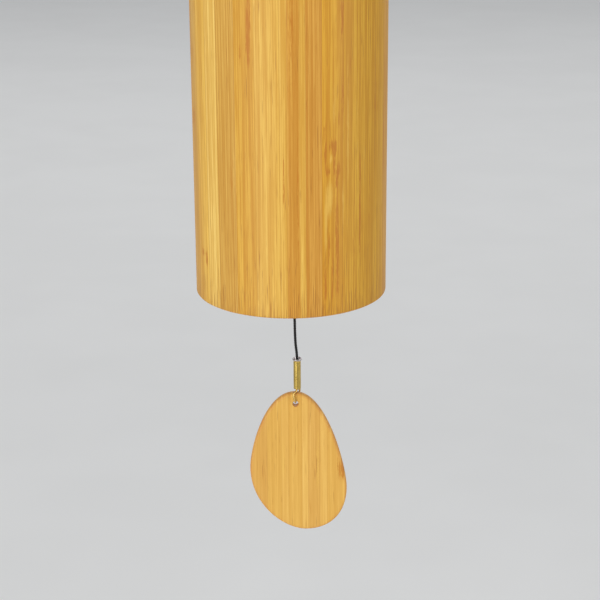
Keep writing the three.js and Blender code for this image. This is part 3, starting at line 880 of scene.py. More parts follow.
class Strips:
    """Bamboo strips side by side, each (width in millimetres, tone), from a first edge onwards."""

    def __init__(self, first, strips, seed):
        self.edges = np.cumsum([first] + [width for width, _ in strips])
        self.tones = np.array([tone for _, tone in strips])
        self.seeds = np.random.default_rng(seed).uniform(0, 40, len(strips))
        self.joints = list(self.edges[1:-1])

    def which(self, u):
        return np.clip(np.searchsorted(self.edges, u) - 1, 0, len(self.tones) - 1)

    def to_edge(self, u):
        return np.min(np.abs(np.asarray(u)[:, None] - self.edges[None, :]), axis=1)


def marks_at(marks, u, v):
    """Soft upright marks, each (u, v, half width, half length, strength) in millimetres."""
    total = np.zeros(len(u))
    for mark_u, mark_v, half_width, half_length, strength in marks:
        total += strength * np.exp(-(((u - mark_u) / half_width) ** 2) - ((v - mark_v) / half_length) ** 2)
    return np.clip(total, 0, 1)


def dress_in_strips(mesh, strips, u, v, stains, pales, rim_fibres, burn_and_shade):
    """Stores all that the strip bamboo material reads. u and v are in millimetres, one for each point."""
    faces = len(mesh.polygons)
    starts = np.empty(faces, np.int32)
    counts = np.empty(faces, np.int32)
    corners = np.empty(len(mesh.loops), np.int32)
    mesh.polygons.foreach_get("loop_start", starts)
    mesh.polygons.foreach_get("loop_total", counts)
    mesh.loops.foreach_get("vertex_index", corners)
    middle_u = np.add.reduceat(u[corners], starts) / counts
    strip = strips.which(middle_u)
    store(mesh, "strip_tone", strips.tones[strip], "FACE", "FLOAT_COLOR")
    store(mesh, "strip_seed", strips.seeds[strip], "FACE")
    store(mesh, "strip_edge", strips.to_edge(u) * MM)
    store(mesh, "stain", marks_at(stains, u, v))
    store(mesh, "pale", marks_at(pales, u, v))
    store(mesh, "rim_fibres", rim_fibres)
    # each point's edge burn with its painted shade
    store(mesh, "worn_edge", burn_and_shade)
    store_flat_map(mesh, u * MM, v * MM)


# ---------------------------------------------------------------- the resonator tube

# round the tube from the seam at its back, over its left side to its front, and on to the seam
TUBE_STRIPS = [
    (6.8, HONEY), (7.2, STRAW), (6.1, TAN), (8.0, PALE_HONEY), (5.6, OLIVE_TAN), (6.9, HONEY), (7.3, STRAW),
    (6.5, AMBER), (5.8, PINKISH_TAN), (6.7, PALE_HONEY), (5.7, STRAW), (7.3, PINKISH_TAN), (6.7, HONEY),
    (7.8, PALE_HONEY), (2.2, PALE_HONEY), (3.9, TAN), (1.8, PALE_HONEY), (5.1, PINKISH_FRONT),
    (7.3, NODE_HONEY), (6.7, OLIVE_TAN), (7.9, OLIVE_TAN), (6.3, OLIVE_TAN), (6.8, TAN), (7.4, HONEY),
    (6.2, PALE_HONEY), (7.9, TAN), (6.6, STRAW), (5.9, OLIVE_TAN), (7.1, HONEY), (6.5, AMBER),
    (4.9, PALE_HONEY),
]
# each (round the tube from its front, above its mouth, half width, half length, strength)
TUBE_STAINS = [
    (-12.3, 98, 0.8, 15, 0.6), (-12.6, 85, 0.6, 5, 0.55), (-15.4, 83, 0.6, 4, 0.4),
    (-19.0, 42, 1.8, 20, 0.2), (-31.8, 15, 0.6, 2.2, 0.7), (-34.5, 17, 1.8, 1.5, 0.4),
    (-41.0, 59, 1.6, 4, 0.5), (-40.5, 80, 1.2, 7, 0.35), (0.9, 88, 1.4, 26, 0.3), (-1.9, 44, 0.4, 12, 0.45),
    (2.4, 40, 0.35, 28, 0.4), (16.7, 96, 0.6, 10, 0.6), (17.0, 70, 0.45, 9, 0.55), (15.8, 62, 0.3, 6, 0.5),
    (10.9, 60, 0.5, 4, 0.4), (11.1, 52, 0.4, 4, 0.75), (13.0, 54.5, 0.9, 2.0, 0.55),
    (14.3, 53, 0.6, 3.5, 0.6), (12.0, 47, 0.7, 1.3, 0.9), (14.1, 47.5, 0.35, 2.2, 0.6),
    (15.7, 47.2, 0.4, 1.6, 1.0), (14.9, 44, 0.4, 4, 0.7), (14.9, 32, 0.55, 9, 0.5), (12.4, 22, 0.3, 7, 0.5),
    (13.4, 14, 0.4, 12, 0.5), (11.0, 10, 0.45, 12, 0.65), (15.2, 16, 0.6, 13, 0.6), (19.9, 80, 0.4, 6, 0.4),
    (24.0, 34, 0.25, 18, 0.75), (31.6, 68, 0.8, 13, 0.35), (28.6, 40, 0.3, 25, 0.4),
    (38.2, 50, 0.3, 12, 0.7), (21.5, 25, 0.35, 25, 0.4), (-66, 120, 1.2, 3, 0.8), (-64, 116, 0.6, 6, 0.6),
    (62, 71, 1.4, 3, 0.8), (60.5, 63, 0.5, 9, 0.6), (85, 128, 1.2, 3, 0.7), (-84, 33, 1.2, 3, 0.7),
    (52, 30, 0.4, 25, 0.5), (74, 100, 0.5, 30, 0.4), (-27, 139, 1.2, 3, 0.6), (26, 131, 1.1, 3, 0.6),
    (5.5, 146, 0.5, 14, 0.4),
]
TUBE_PALES = [
    (12.9, 50.6, 0.45, 1.9, 1.0), (12.4, 38, 1.5, 7, 0.8), (-17.3, 50, 0.5, 16, 0.7),
    (-3.5, 58, 0.5, 15, 0.7), (11.3, 27, 0.4, 10, 0.8), (17.2, 36, 0.5, 14, 0.6), (18.9, 60, 0.6, 30, 0.6),
    (14.0, 66, 0.8, 8, 0.6), (22.6, 55, 0.5, 40, 0.5), (26.0, 55, 0.7, 40, 0.4), (34.0, 45, 0.6, 30, 0.4),
]
# in millimetres
SHEET_STEP = 0.12  # how far the rolled sheet's outer edge stands up at the seam
SEAM_BLEND = 30  # how far round the tube that step fades out
JOINT_DEPTH = 0.015
JOINT_WIDTH = 0.1
SWELL = 0.015  # half the height of the waves that keep the face from being a perfect round
FIBRES_FADE_OVER = 9  # above the mouth
SHEET_DEPTHS = (0.9, 1.4, 1.9)  # where the cut ends show the joints between the rolled sheets


def evenly(start, end, spacing):
    return np.linspace(start, end, max(2, round(abs(end - start) / spacing) + 1))


def tube_columns(strips):
    """Where the blank's columns of points lie: three at each joint, and evenly over each strip."""
    columns = []
    for left, right in zip(strips.edges, strips.edges[1:]):
        columns += [left, *evenly(left + JOINT_WIDTH, right - JOINT_WIDTH, 0.55)]
    return np.array(columns + [strips.edges[-1]])


def tube_section():
    """The wall's closed section: (height off the face, height above the mouth, zone, edge burn and painted
    shade). It goes up the face, over the top edge, down the inside and round the mouth's edge, all in
    millimetres. Zone 0 is the face, 1 a cut end and 2 the inside."""
    wall, ease = in_mm(TUBE_WALL), in_mm(TUBE_EDGE)
    length = in_mm(TUBE_TOP - MOUTH)
    rows = np.concatenate([[ease, ease + 0.5, ease + 1.2], evenly(ease + 2, length - ease, 2)])
    section = [(0, row, 0, 0) for row in rows]
    corner = np.radians([25, 50, 72])
    layers = []
    for groove in SHEET_DEPTHS:
        layers += [(groove - 0.05, 0), (groove, -0.05), (groove + 0.05, 0)]
    layers = [(ease, 0), *layers, (wall - ease, 0)]

    def end(outwards):
        at = length if outwards > 0 else 0
        curve = [(ease * (1 - math.cos(a)), at - outwards * ease * (1 - math.sin(a))) for a in corner]
        # The eased corners of the tube's ends take the edge's burnt orange with painted shade.
        face = [(-back, height, 0, 0.35) for back, height in curve]
        flat = [(-depth, at + outwards * rise, 1, 0.3) for depth, rise in layers]
        inner = [(back - wall, height, 1, 0.3) for back, height in reversed(curve)]
        return face + flat + inner

    section += end(1)
    section += [(-wall, row, 2, 0) for row in evenly(length - ease, ease, 8)]
    section += end(-1)[::-1]
    return np.array(section)


def make_tube():
    strips = Strips(-in_mm(math.pi * TUBE_RADIUS), TUBE_STRIPS, seed=11)
    strips.edges[-1] = in_mm(math.pi * TUBE_RADIUS)
    columns, section = tube_columns(strips), tube_section()
    u, i = [grid.ravel() for grid in np.meshgrid(columns, np.arange(len(section)), indexing="ij")]
    # wear, the section's last column, is the edges' burnt orange with painted shade
    depth, v, zone, wear = section[i].T
    outside = (zone == 0).astype(float)
    from_seam = (u - strips.edges[0]) / SEAM_BLEND
    lowered = SHEET_STEP * np.clip(1 - from_seam, 0, 1) ** 2
    joint = JOINT_DEPTH * (strips.to_edge(u) < JOINT_WIDTH / 2)
    swell = SWELL * (np.sin(u * 0.21 + 0.5 * np.sin(v * 0.05)) + np.sin(u * 0.53 + v * 0.021))
    depth = depth + outside * (swell - lowered - joint)
    rows = len(section)
    faces = []
    for j in range(len(columns)):
        k = (j + 1) % len(columns)
        for a in range(rows):
            b = (a + 1) % rows
            faces.append((j * rows + a, k * rows + a, k * rows + b, j * rows + b))
    points = np.column_stack([u * MM, depth * MM, MOUTH + v * MM])
    blank = mesh_of("tube_blank", points, faces)
    fibres = 0.9 * np.exp(-v / FIBRES_FADE_OVER) + 0.12
    dress_in_strips(blank, strips, u, v, TUBE_STAINS, TUBE_PALES, fibres, wear)
    face_zone = np.tile(np.maximum(section[:, 2], np.roll(section[:, 2], -1)), len(columns))
    store(blank, "wall_zone", face_zone, "FACE")
    tube = grown("resonator_tube_veneer", add_object("tube_blank", blank), ROLL, Radius=TUBE_RADIUS,
                 Face=VENEER, Cut_Edge=CUT_EDGE, Inside=BARE_INSIDE)
    weld(tube.data)
    soften(tube.data, 40)
    return tube


def weld(mesh):
    """Joins the points that lie together at the seam."""
    work = bmesh.new()
    work.from_mesh(mesh)
    bmesh.ops.remove_doubles(work, verts=work.verts, dist=0.001 * MM)
    work.to_mesh(mesh)
    work.free()


finish_piece(make_tube(), "resonator", "bamboo_veneer", "resonator_tube")

# ---------------------------------------------------------------- flat plates with holes

HOLE_SIDES = 24
HOLE_EASE = 0.15


def circle(radius, count, centre=(0, 0)):
    angles = np.linspace(0, FULL_TURN, count, endpoint=False)
    return np.column_stack([centre[0] + radius * np.cos(angles), centre[1] + radius * np.sin(angles)])


def inset(outline, by):
    """A smooth convex outline, in counterclockwise order, drawn in towards its middle."""
    along = np.roll(outline, -1, axis=0) - np.roll(outline, 1, axis=0)
    along /= np.linalg.norm(along, axis=1)[:, None]
    return outline + by * np.column_stack([-along[:, 1], along[:, 0]])


def with_crossings(outline, lines):
    """The outline with a point added wherever an upright line crosses it."""
    points = []
    for here, there in zip(outline, np.roll(outline, -1, axis=0)):
        points.append(here)
        between = [x for x in lines if (here[0] - x) * (there[0] - x) < -1e-9]
        points += sorted((here + (there - here) * (x - here[0]) / (there[0] - here[0]) for x in between),
                         key=lambda p: np.linalg.norm(p - here))
    return np.array(points)


def face_of(border, holes, lines, spacing):
    """Cuts a flat face into triangles. Points come back in the order border, holes, the rest."""
    points = [tuple(p) for loop in [border, *holes] for p in loop]
    edges, loops, first = [], [], 0
    for loop in [border, *holes]:
        loops.append(set(range(first, first + len(loop))))
        edges += [(first + i, first + (i + 1) % len(loop)) for i in range(len(loop))]
        first += len(loop)
    low, high = border.min(0), border.max(0)
    near = spacing * 0.6

    ahead = np.roll(border, -1, axis=0) - border
    inwards = np.column_stack([-ahead[:, 1], ahead[:, 0]]) / np.linalg.norm(ahead, axis=1)[:, None]

    def inside(x, y, margin):
        if np.min(np.sum(inwards * (np.array([x, y]) - border), axis=1)) < margin:
            return False
        for hole in holes:
            centre = hole.mean(0)
            if math.hypot(x - centre[0], y - centre[1]) < np.linalg.norm(hole[0] - centre) + margin:
                return False
        return True

    for x in lines:
        ends = [i for i, p in enumerate(border) if abs(p[0] - x) < 1e-6]
        ends.sort(key=lambda i: border[i][1])
        if len(ends) != 2:
            continue
        chain = [ends[0]]
        for y in np.arange(low[1], high[1], spacing):
            if inside(x, y, near):
                chain.append(len(points))
                points.append((x, y))
        chain.append(ends[1])
        edges += list(zip(chain, chain[1:]))
    for x, y in inset(border, near):
        if all(abs(x - line) > 0.15 for line in lines):
            points.append((x, y))
    for row, y in enumerate(np.arange(low[1], high[1], spacing)):
        for x in np.arange(low[0] + (row % 2) * spacing / 2, high[0], spacing):
            if inside(x, y, near + spacing * 0.5) and all(abs(x - line) > spacing * 0.4 for line in lines):
                points.append((x, y))
    result = delaunay_2d_cdt([Vector(p) for p in points], edges, [], 0, 1e-7)
    faces, origins = result[2], result[3]
    back = [origin[0] for origin in origins]
    triangles = [[back[corner] for corner in face] for face in faces]
    return np.array(points), [t for t in triangles if not any(set(t) <= loop for loop in loops[1:])]


def plate(outline, holes, thickness, ease, lines=(), spacing=2.0, blind=()):
    """A flat plate, in millimetres: points (p, q, depth), faces, and how much burnt orange and painted shade
    each point takes, from 0 on the faces to 1 in the holes. Each hole is (p, q, radius), and a blind one,
    drilled from the back, is (p, q, radius, depth)."""
    half = thickness / 2
    hole_loops = [circle(r + HOLE_EASE, HOLE_SIDES, (x, y)) for x, y, r in holes]
    blind_loops = [circle(r + HOLE_EASE, HOLE_SIDES, (x, y)) for x, y, r, _ in blind]
    rim = with_crossings(inset(outline, ease), lines)
    front, front_faces = face_of(rim, hole_loops, lines, spacing)
    behind, behind_faces = face_of(rim, hole_loops + blind_loops, lines, spacing)
    points = [(*p, half) for p in front] + [(*p, -half) for p in behind]
    # wear holds each point's burnt orange with its painted shade
    wear = [0.0] * len(points)
    faces = [tuple(f) for f in front_faces]
    faces += [tuple(len(front) + corner for corner in reversed(f)) for f in behind_faces]

    def wall(start, count, loops, end, inwards):
        """Joins the loop of points from start to the one from end, through the loops between them."""
        rows = [list(range(start, start + count))]
        for loop, depth, burn_and_shade in loops:
            rows.append(list(range(len(points), len(points) + count)))
            points.extend((*p, depth) for p in loop)
            wear.extend([burn_and_shade] * count)
        if end is not None:
            rows.append(list(range(end, end + count)))
        for upper, lower in zip(rows, rows[1:]):
            for i in range(count):
                j = (i + 1) % count
                quad = (upper[i], lower[i], lower[j], upper[j])
                faces.append(quad[::-1] if inwards else quad)
        return rows[-1]

    count = len(rim)
    curve = [(math.sin(a), half - ease * (1 - math.cos(a))) for a in np.radians([18, 36, 54, 72, 90])]
    # Round the rim, the burnt orange and the painted shade grow from the face's edge towards the side wall.
    rim_loops = [(inset(rim, -ease * out), depth, 0.4 + 0.5 * out) for out, depth in curve]
    rim_loops += [(loop, -depth, burn_and_shade) for loop, depth, burn_and_shade in reversed(rim_loops)]
    for i in range(count):
        wear[i] = wear[len(front) + i] = 0.3
    wall(0, count, rim_loops, len(front), False)
    first = count
    for x, y, r in holes:
        bore = circle(r, HOLE_SIDES, (x, y))
        # In the bores, the burnt orange and the painted shade are at their strongest.
        loops = [(bore, half - HOLE_EASE, 1.0), (bore, HOLE_EASE - half, 1.0)]
        wall(first, HOLE_SIDES, loops, len(front) + first, True)
        first += HOLE_SIDES
    for x, y, r, depth in blind:
        bore = circle(r, HOLE_SIDES, (x, y))
        # The blind bores also take the burnt orange and the painted shade at full strength.
        loops = [(bore, HOLE_EASE - half, 1.0), (bore, depth - half, 1.0)]
        floor = wall(len(front) + first, HOLE_SIDES, loops, None, False)
        faces.append(tuple(reversed(floor)))
        first += HOLE_SIDES
    return np.array(points), faces, np.array(wear)


def plate_mesh(name, parts, to_place):
    """The plate's mesh, with each (p, q, depth) of it put where to_place says, in millimetres."""
    points, faces, _ = parts
    return mesh_of(name, np.array([to_place(*p) for p in points]) * MM, faces)


def bamboo_board(name, material, parts, to_place, strips, stains, pales, fibres):
    """A plate cut from strips of bamboo. The stains and the pales are in the plate's own p and q."""
    # wear is the edges' burnt orange with its painted shade
    points, _, wear = parts
    mesh = plate_mesh(name, parts, to_place)
    evenly_fibrous = np.full(len(points), fibres)
    dress_in_strips(mesh, strips, points[:, 0], points[:, 1], stains, pales, evenly_fibrous, wear)
    return add_object(name, soften(mesh, 40), material)


# ---------------------------------------------------------------- the sail

SAIL_HOLE_X = 1.15
SAIL_HOLE_DROP = 3.9  # from the sail's top down to its hole
SAIL_HOLE_RADIUS = 1.0
OUTLINE_STEPS = 41
SAIL_STRIPS_START = -15.0
# no joint between two strips may cross the hole
SAIL_STRIPS = [
    (6.4, SAIL_PINK), (4.9, SAIL_GOLD), (2.3, SAIL_PALE), (4.6, SAIL_GOLD), (2.1, SAIL_PALE),
    (4.0, SAIL_PINK), (2.4, SAIL_PALE), (6.8, SAIL_GOLD),
]
# each (x, height from the sail's top edge, half width, half length, strength)
SAIL_STAINS = [
    (-9.9, -30, 1.5, 9, 0.14), (16.9, -28, 0.9, 4.5, 0.6), (15.4, -25, 0.6, 5, 0.35),
    (3.6, -14, 0.5, 12, 0.2), (5.8, -42, 1.0, 9, 0.15),
]
SAIL_PALES = [
    (-3.2, -25, 1.2, 14, 0.5), (8.6, -24, 0.7, 20, 0.6), (2.4, -20, 0.5, 12, 0.4), (13.0, -38, 0.8, 8, 0.4),
]


def sail_outline():
    """The lopsided egg, in millimetres: x from the axis, and the height from the sail's top edge."""
    low, high = lowest("sail"), highest("sail")
    width, length, centre = in_mm(high.x - low.x), in_mm(high.z - low.z), in_mm(middle("sail").x)
    quarters = [
        ((-0.033, 0), (-0.349, 0), (-0.5, 0.419), (-0.5, 0.544)),
        ((-0.5, 0.544), (-0.5, 0.817), (-0.16, 1), (0.077, 1)),
        ((0.077, 1), (0.33, 1), (0.5, 0.885), (0.5, 0.69)),
        ((0.5, 0.69), (0.5, 0.573), (0.31, 0), (-0.033, 0)),
    ]
    line = []
    for quarter in quarters:
        handles = (Vector((centre + across * width, -down * length, 0)) for across, down in quarter)
        line += interpolate_bezier(*handles, OUTLINE_STEPS)[:-1]
    return np.array([(p.x, p.y) for p in line])


def make_sail():
    top = in_mm(highest("sail").z)
    thickness = in_mm(highest("sail").y - lowest("sail").y)
    hole = (SAIL_HOLE_X, -SAIL_HOLE_DROP, SAIL_HOLE_RADIUS)
    strips = Strips(SAIL_STRIPS_START, SAIL_STRIPS, seed=5)
    parts = plate(sail_outline(), [hole], thickness, 0.8, strips.joints, spacing=0.7)
    return bamboo_board("sail_bamboo", SAIL_BAMBOO, parts, lambda p, q, depth: (p, -depth, top + q),
                        strips, SAIL_STAINS, SAIL_PALES, fibres=0.1)


finish_piece(make_sail(), "sail", "bamboo_plate", "sail")

# ---------------------------------------------------------------- the cap and the tone plate

# radii, depths and clearances, in millimetres
PAIR_HOLE = 1.3
SCREW_HOLE = 1.45
PILOT_DEPTH = 4.1
ROD_CLEARANCE = 0.3
DISC_SIDES = 128
FIRST_SCREW = math.pi / 2
CAP_STRIPS_START = -28.0
CAP_STRIPS = [
    (7.3, HONEY), (8.1, TAN), (7.4, PALE_HONEY), (8.6, HONEY), (7.9, STRAW), (7.6, TAN), (9.1, HONEY),
]
CAP_STAINS = [(-9, 12, 1.2, 3, 0.6)]


def places_round(circle_radius, count, first_angle):
    angles = [first_angle + FULL_TURN * i / count for i in range(count)]
    reach = in_mm(circle_radius)
    return [(reach * math.cos(a), reach * math.sin(a)) for a in angles]


ROD_PLACES = places_round(ROD_CIRCLE, ROD_COUNT, 0.0)
SCREW_PLACES = places_round(SCREW_CIRCLE, SCREW_COUNT, FIRST_SCREW)


def disc_of(node, holes, ease, lines=(), blind=()):
    """A round plate as wide and thick as the node, and what puts each of its points in place."""
    low, high = lowest(node), highest(node)
    level = in_mm(middle(node).z)
    outline = circle(in_mm(high.x), DISC_SIDES)
    parts = plate(outline, holes, in_mm(high.z - low.z), ease, lines, blind=blind)
    return parts, lambda p, q, depth: (p, q, level + depth)


def make_cap():
    pilots = [(x, y, SCREW_HOLE, PILOT_DEPTH) for x, y in SCREW_PLACES]
    strips = Strips(CAP_STRIPS_START, CAP_STRIPS, seed=23)
    parts, to_place = disc_of("top_cap", [(0, 0, PAIR_HOLE)], 0.5, strips.joints, blind=pilots)
    return bamboo_board("top_cap_board", BOARD_BAMBOO, parts, to_place, strips, CAP_STAINS, [], fibres=0.3)


def make_tone_plate():
    holes = [(0, 0, PAIR_HOLE)]
    holes += [(x, y, SCREW_HOLE) for x, y in SCREW_PLACES]
    holes += [(x, y, in_mm(ROD) / 2 + ROD_CLEARANCE) for x, y in ROD_PLACES]
    parts, to_place = disc_of("tone_plate", holes, 0.4)
    mesh = soften(plate_mesh("tone_plate_brass", parts, to_place), 32)
    return add_object("tone_plate_brass", mesh, TURNED_BRASS)


finish_piece(make_cap(), "resonator", "bamboo_disc", "top_cap")
finish_piece(make_tone_plate(), "resonator", "plate_brass", "tone_plate")

# ---------------------------------------------------------------- rods, solder, screws and spacers

SOLDER_FOOT = 1.7
SOLDER_CLIMB = 1.9
SLOT = (6 * MM, 0.7 * MM, 1.8 * MM)


def make_rods():
    """Each rod is cut to its note, and its tip is ground to a bevel."""
    routes, shares = [], []
    for i in range(1, ROD_COUNT + 1):
        place, tip = middle(f"rod_{i}"), lowest(f"rod_{i}").z
        bevel = [(tip, 0.70), (tip + 0.12 * MM, 0.84), (tip + 0.3 * MM, 0.96), (tip + 0.5 * MM, 1.0)]
        shank = [(z, 1.0) for z in np.linspace(tip + 6 * MM, PLATE_TOP - 0.3 * MM, 8)]
        crown = [(PLATE_TOP - 0.1 * MM, 0.97), (PLATE_TOP, 0.9)]
        routes.append([(place.x, place.y, z) for z, _ in bevel + shank + crown])
        shares += [share for _, share in bevel + shank + crown]
    rods = grown("tone_rods_steel", path_object(*routes, shares=shares), BAR, Diameter=ROD, Sides=28,
                 Material=DRAWN_STEEL)
    soften(rods.data, 30)
    return rods


def make_solder():
    """A fillet that climbs each rod in a hollow curve."""
    inner, top = in_mm(ROD) / 2, in_mm(PLATE_BOTTOM)
    hollow = [(inner + SOLDER_FOOT * (1 - math.sin(a)) + 0.02, top - SOLDER_CLIMB * (1 - math.cos(a)))
              for a in np.radians(np.linspace(90, 0, 9))]
    profile = [(inner - 0.1, top - SOLDER_CLIMB), *hollow, (inner - 0.1, top)]
    blank = soften(turned("solder_blank", profile, 24, ring=True), 50)
    return grown("solder_fillets", add_object("solder_blank", blank), RING, Count=ROD_COUNT,
                 Circle_Radius=ROD_CIRCLE, First_Angle=0.0, Turn_At_Random=FULL_TURN, Unevenness=0.3 * MM,
                 Grain_Size=2.2 * MM, Seed=4, Material=SOLDER)


def at_the_screws(name, blank, turn_at_random, seed):
    return grown(name, blank, RING, Count=SCREW_COUNT, Circle_Radius=SCREW_CIRCLE, First_Angle=FIRST_SCREW,
                 Turn_At_Random=turn_at_random, Unevenness=0.0, Grain_Size=1.0, Seed=seed,
                 Material=PLAIN_STEEL)


def slotted(screw, head_bottom):
    """The screw's mesh with a slot cut across its head."""
    work = bmesh.new()
    place = Matrix.Translation((0, 0, head_bottom * MM)) @ Matrix.Diagonal((*SLOT, 1))
    bmesh.ops.create_cube(work, size=1, matrix=place)
    cutter_mesh = bpy.data.meshes.new("slot")
    work.to_mesh(cutter_mesh)
    work.free()
    cutter = add_object("slot", cutter_mesh)
    cut = screw.modifiers.new("slot", "BOOLEAN")
    cut.operation = "DIFFERENCE"
    cut.solver = "EXACT"
    cut.object = cutter
    view = bpy.context.evaluated_depsgraph_get()
    mesh = bpy.data.meshes.new_from_object(screw.evaluated_get(view), depsgraph=view)
    bpy.data.objects.remove(screw)
    bpy.data.objects.remove(cutter)
    return soften(mesh, 30)


def make_screws():
    """Slotted screws with domed heads, up through the plate and the spacers into the cap."""
    head_top, tip = in_mm(PLATE_BOTTOM) - 0.02, in_mm(highest("plate_screw_1").z)
    head_bottom = in_mm(lowest("plate_screw_1").z)
    profile = eased([
        (0, head_bottom, 0), (1.5, head_bottom + 0.02, 0.6), (2.3, head_bottom + 0.75, 0.35),
        (2.3, head_top, 0.08), (1.1, head_top, 0), (1.1, tip - 1.2, 0.2), (0, tip, 0),
    ])
    screw = add_object("screw_blank", turned("screw_blank", profile, 32))
    blank = add_object("screw_slotted", slotted(screw, head_bottom))
    return at_the_screws("plate_screws", blank, math.pi, seed=9)


def make_spacers():
    """Turned collars between the plate and the cap, waisted between two bands."""
    low, high = in_mm(PLATE_TOP) + 0.01, in_mm(lowest("top_cap").z) - 0.01
    radius = in_mm(highest("plate_spacer_1").x - middle("plate_spacer_1").x)
    neck = radius - 0.25
    profile = eased([
        (SCREW_HOLE, low, 0.1), (radius, low, 0.2), (radius, low + 1.3, 0.08), (neck, low + 1.5, 0.08),
        (neck, high - 1.5, 0.08), (radius, high - 1.3, 0.08), (radius, high, 0.2), (SCREW_HOLE, high, 0.1),
    ], steps=3)
    blank = soften(turned("spacer_blank", profile, 36, ring=True), 50)
    return at_the_screws("plate_spacers", add_object("spacer_blank", blank), FULL_TURN, seed=2)


def numbered(stem, count):
    return [f"{stem}_{i}" for i in range(1, count + 1)]


finish_piece(make_rods(), "resonator", "rod_steel", *numbered("rod", ROD_COUNT))
finish_piece(make_solder(), "resonator", "silver_solder", *numbered("solder", ROD_COUNT))
finish_piece(make_screws(), "resonator", "screw_steel", *numbered("plate_screw", SCREW_COUNT))
finish_piece(make_spacers(), "resonator", "screw_steel", *numbered("plate_spacer", SCREW_COUNT))

# ---------------------------------------------------------------- clapper, sleeve and hook

CLAPPER_HOLE = 0.85
HOOK_TIP_INSIDE = 4.2  # how far the hook's free end reaches up into the sleeve
TOUCH = 0.3  # what the model leaves between two pieces that touch


def make_clapper():
    low, high = in_mm(lowest("clapper").z), in_mm(highest("clapper").z)
    radius = in_mm(highest("clapper").x)
    profile = eased([
        (CLAPPER_HOLE, low, 0.15), (radius, low, 0.6), (radius, high, 0.6), (CLAPPER_HOLE, high, 0.15),
    ])
    mesh = soften(turned("clapper_disc", profile, 96, ring=True), 32)
    return add_object("clapper_disc", mesh, ACRYLIC)


def make_sleeve():
    """A short brass tube whose upper end is flared so that it slides down over the cord's end."""
    low, high = in_mm(lowest("sleeve").z), in_mm(highest("sleeve").z)
    centre = middle("sleeve")
    bore, outer = 0.95, 1.23
    lip = in_mm(highest("sleeve").x - centre.x)
    profile = eased([
        (bore, low, 0.06), (outer, low, 0.08), (outer, high - 0.95, 0.22), (lip, high - 0.32, 0.16),
        (lip, high, 0.14), (lip - 0.3, high, 0.12), (bore, high - 0.8, 0.3),
    ])
    mesh = soften(turned("sleeve_tube", profile, 48, ring=True, centre=(centre.x, centre.y)), 40)
    return add_object("sleeve_tube", mesh, SLEEVE_BRASS)


def make_hook():
    """One brass wire: down behind the sail, through its hole, and up in front into the sleeve."""
    leg, hole_x, x = 0.45, SAIL_HOLE_X, in_mm(middle("sleeve").x)
    foot, wire, sail_top = in_mm(lowest("sleeve").z), in_mm(HOOK_WIRE), in_mm(highest("sail").z)
    seat = sail_top - SAIL_HOLE_DROP + SAIL_HOLE_RADIUS - wire / 2 - TOUCH
    reach = in_mm(highest("sail").y) + wire + TOUCH
    shank_top, tip = in_mm(lowest("sail_line").z) - TOUCH, foot + HOOK_TIP_INSIDE
    route = smooth_route([
        (x, leg, shank_top), (x, leg, foot + 0.4), (x + 0.3, leg + 0.6, foot - 0.7),
        (x + 0.85, reach - 0.1, foot - 1.3), (x + 0.4, reach, seat + 1.9),
        (hole_x + 0.15, reach - 0.3, seat + 0.6), (hole_x + 0.05, reach - 1.2, seat), (hole_x, 0, seat),
        (hole_x - 0.05, 1.2 - reach, seat), (hole_x - 0.1, 0.3 - reach, seat + 0.6),
        (hole_x - 0.5, -reach, seat + 1.9), (x - 1.3, 0.1 - reach, foot - 1.3),
        (x - 0.4, -leg - 0.6, foot - 0.7), (x, -leg, foot + 0.4), (x, -leg, tip),
    ], 0.18)
    shares = np.ones(len(route))
    shares[[0, -1]], shares[[1, -2]] = 0.7, 0.93
    hook = grown("hook_wire", path_object(route, shares=shares), BAR, Diameter=HOOK_WIRE, Sides=14,
                 Material=WIRE_BRASS)
    soften(hook.data, 50)
    return hook


sleeve = finish_piece(make_sleeve(), "sleeve", "sleeve_brass", "sleeve")
hook = finish_piece(make_hook(), "sail_line", "hook_brass", "hook")
finish_piece(make_clapper(), "clapper", "clear_acrylic", "clapper")

# ---------------------------------------------------------------- floor and light

FLOOR_BELOW_SAIL = 1200 * MM
FLOOR_HALF = 20.0


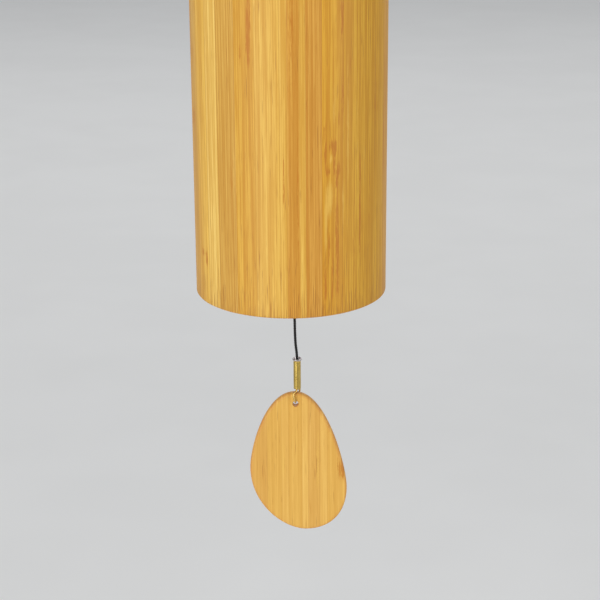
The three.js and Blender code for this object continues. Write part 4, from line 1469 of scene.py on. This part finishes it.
def make_floor():
    """A wide, pale and nearly even floor, far below the sail."""
    finish = Finish("pale floor")
    patches = finish.mottle((3, 3, 3))
    colour = finish.mix(finish.ramp(patches, 0.3, 0.7), rgb(0.88, 0.88, 0.87), rgb(0.86, 0.86, 0.85))
    finish.set("Base Color", colour)
    finish.set("Roughness", finish.spread(patches, 0.75, 0.9))
    half, level = FLOOR_HALF, cad_box[0][2] - FLOOR_BELOW_SAIL
    corners = [(-half, -half, level), (half, -half, level), (half, half, level), (-half, half, level)]
    floor = add_object("floor", mesh_of("floor", corners, [(0, 1, 2, 3)]), finish.material)


def soft_light(name, place, aim, width, height, watts, colour):
    """A soft panel that faces the point it's aimed at, and is never seen itself."""
    data = bpy.data.lights.new(name, "AREA")
    data.shape = "RECTANGLE"
    data.size = width
    data.size_y = height
    data.energy = watts
    data.color = colour
    light = bpy.data.objects.new(name, data)
    toward = Vector(aim) - Vector(place)
    light.matrix_world = Matrix.Translation(place) @ toward.to_track_quat("-Z", "Y").to_matrix().to_4x4()
    light.visible_camera = False
    bpy.context.scene.collection.objects.link(light)


def light_the_scene():
    """Two tall panels in front, whose reflections run down the brass, a weak one behind the chime, one for
    the floor, and an even grey world."""
    scene = bpy.context.scene
    scene.view_settings.view_transform = "Standard"
    world = bpy.data.worlds.new("studio")
    world.use_nodes = True
    sky = world.node_tree.nodes["Background"]
    sky.inputs["Color"].default_value = rgb(0.95, 0.97, 1.0)
    sky.inputs["Strength"].default_value = 0.43
    scene.world = world
    soft_light("key", (-1.15, -1.6, 0.35), (0, 0, 0.35), 1.1, 2.8, 36, (1.0, 0.98, 0.95))
    soft_light("fill", (2.0, -0.9, 0.3), (0, 0, 0.3), 0.9, 2.4, 20, (1.0, 1.0, 1.0))
    soft_light("back", (0.3, 1.9, 0.8), (0, 0, -0.2), 1.2, 1.2, 6, (1.0, 1.0, 1.0))
    soft_light("floor wash", (0, 5, 1.6), (0, 5.01, 0), 8, 6, 70, (1.0, 1.0, 1.0))


make_floor()
light_the_scene()
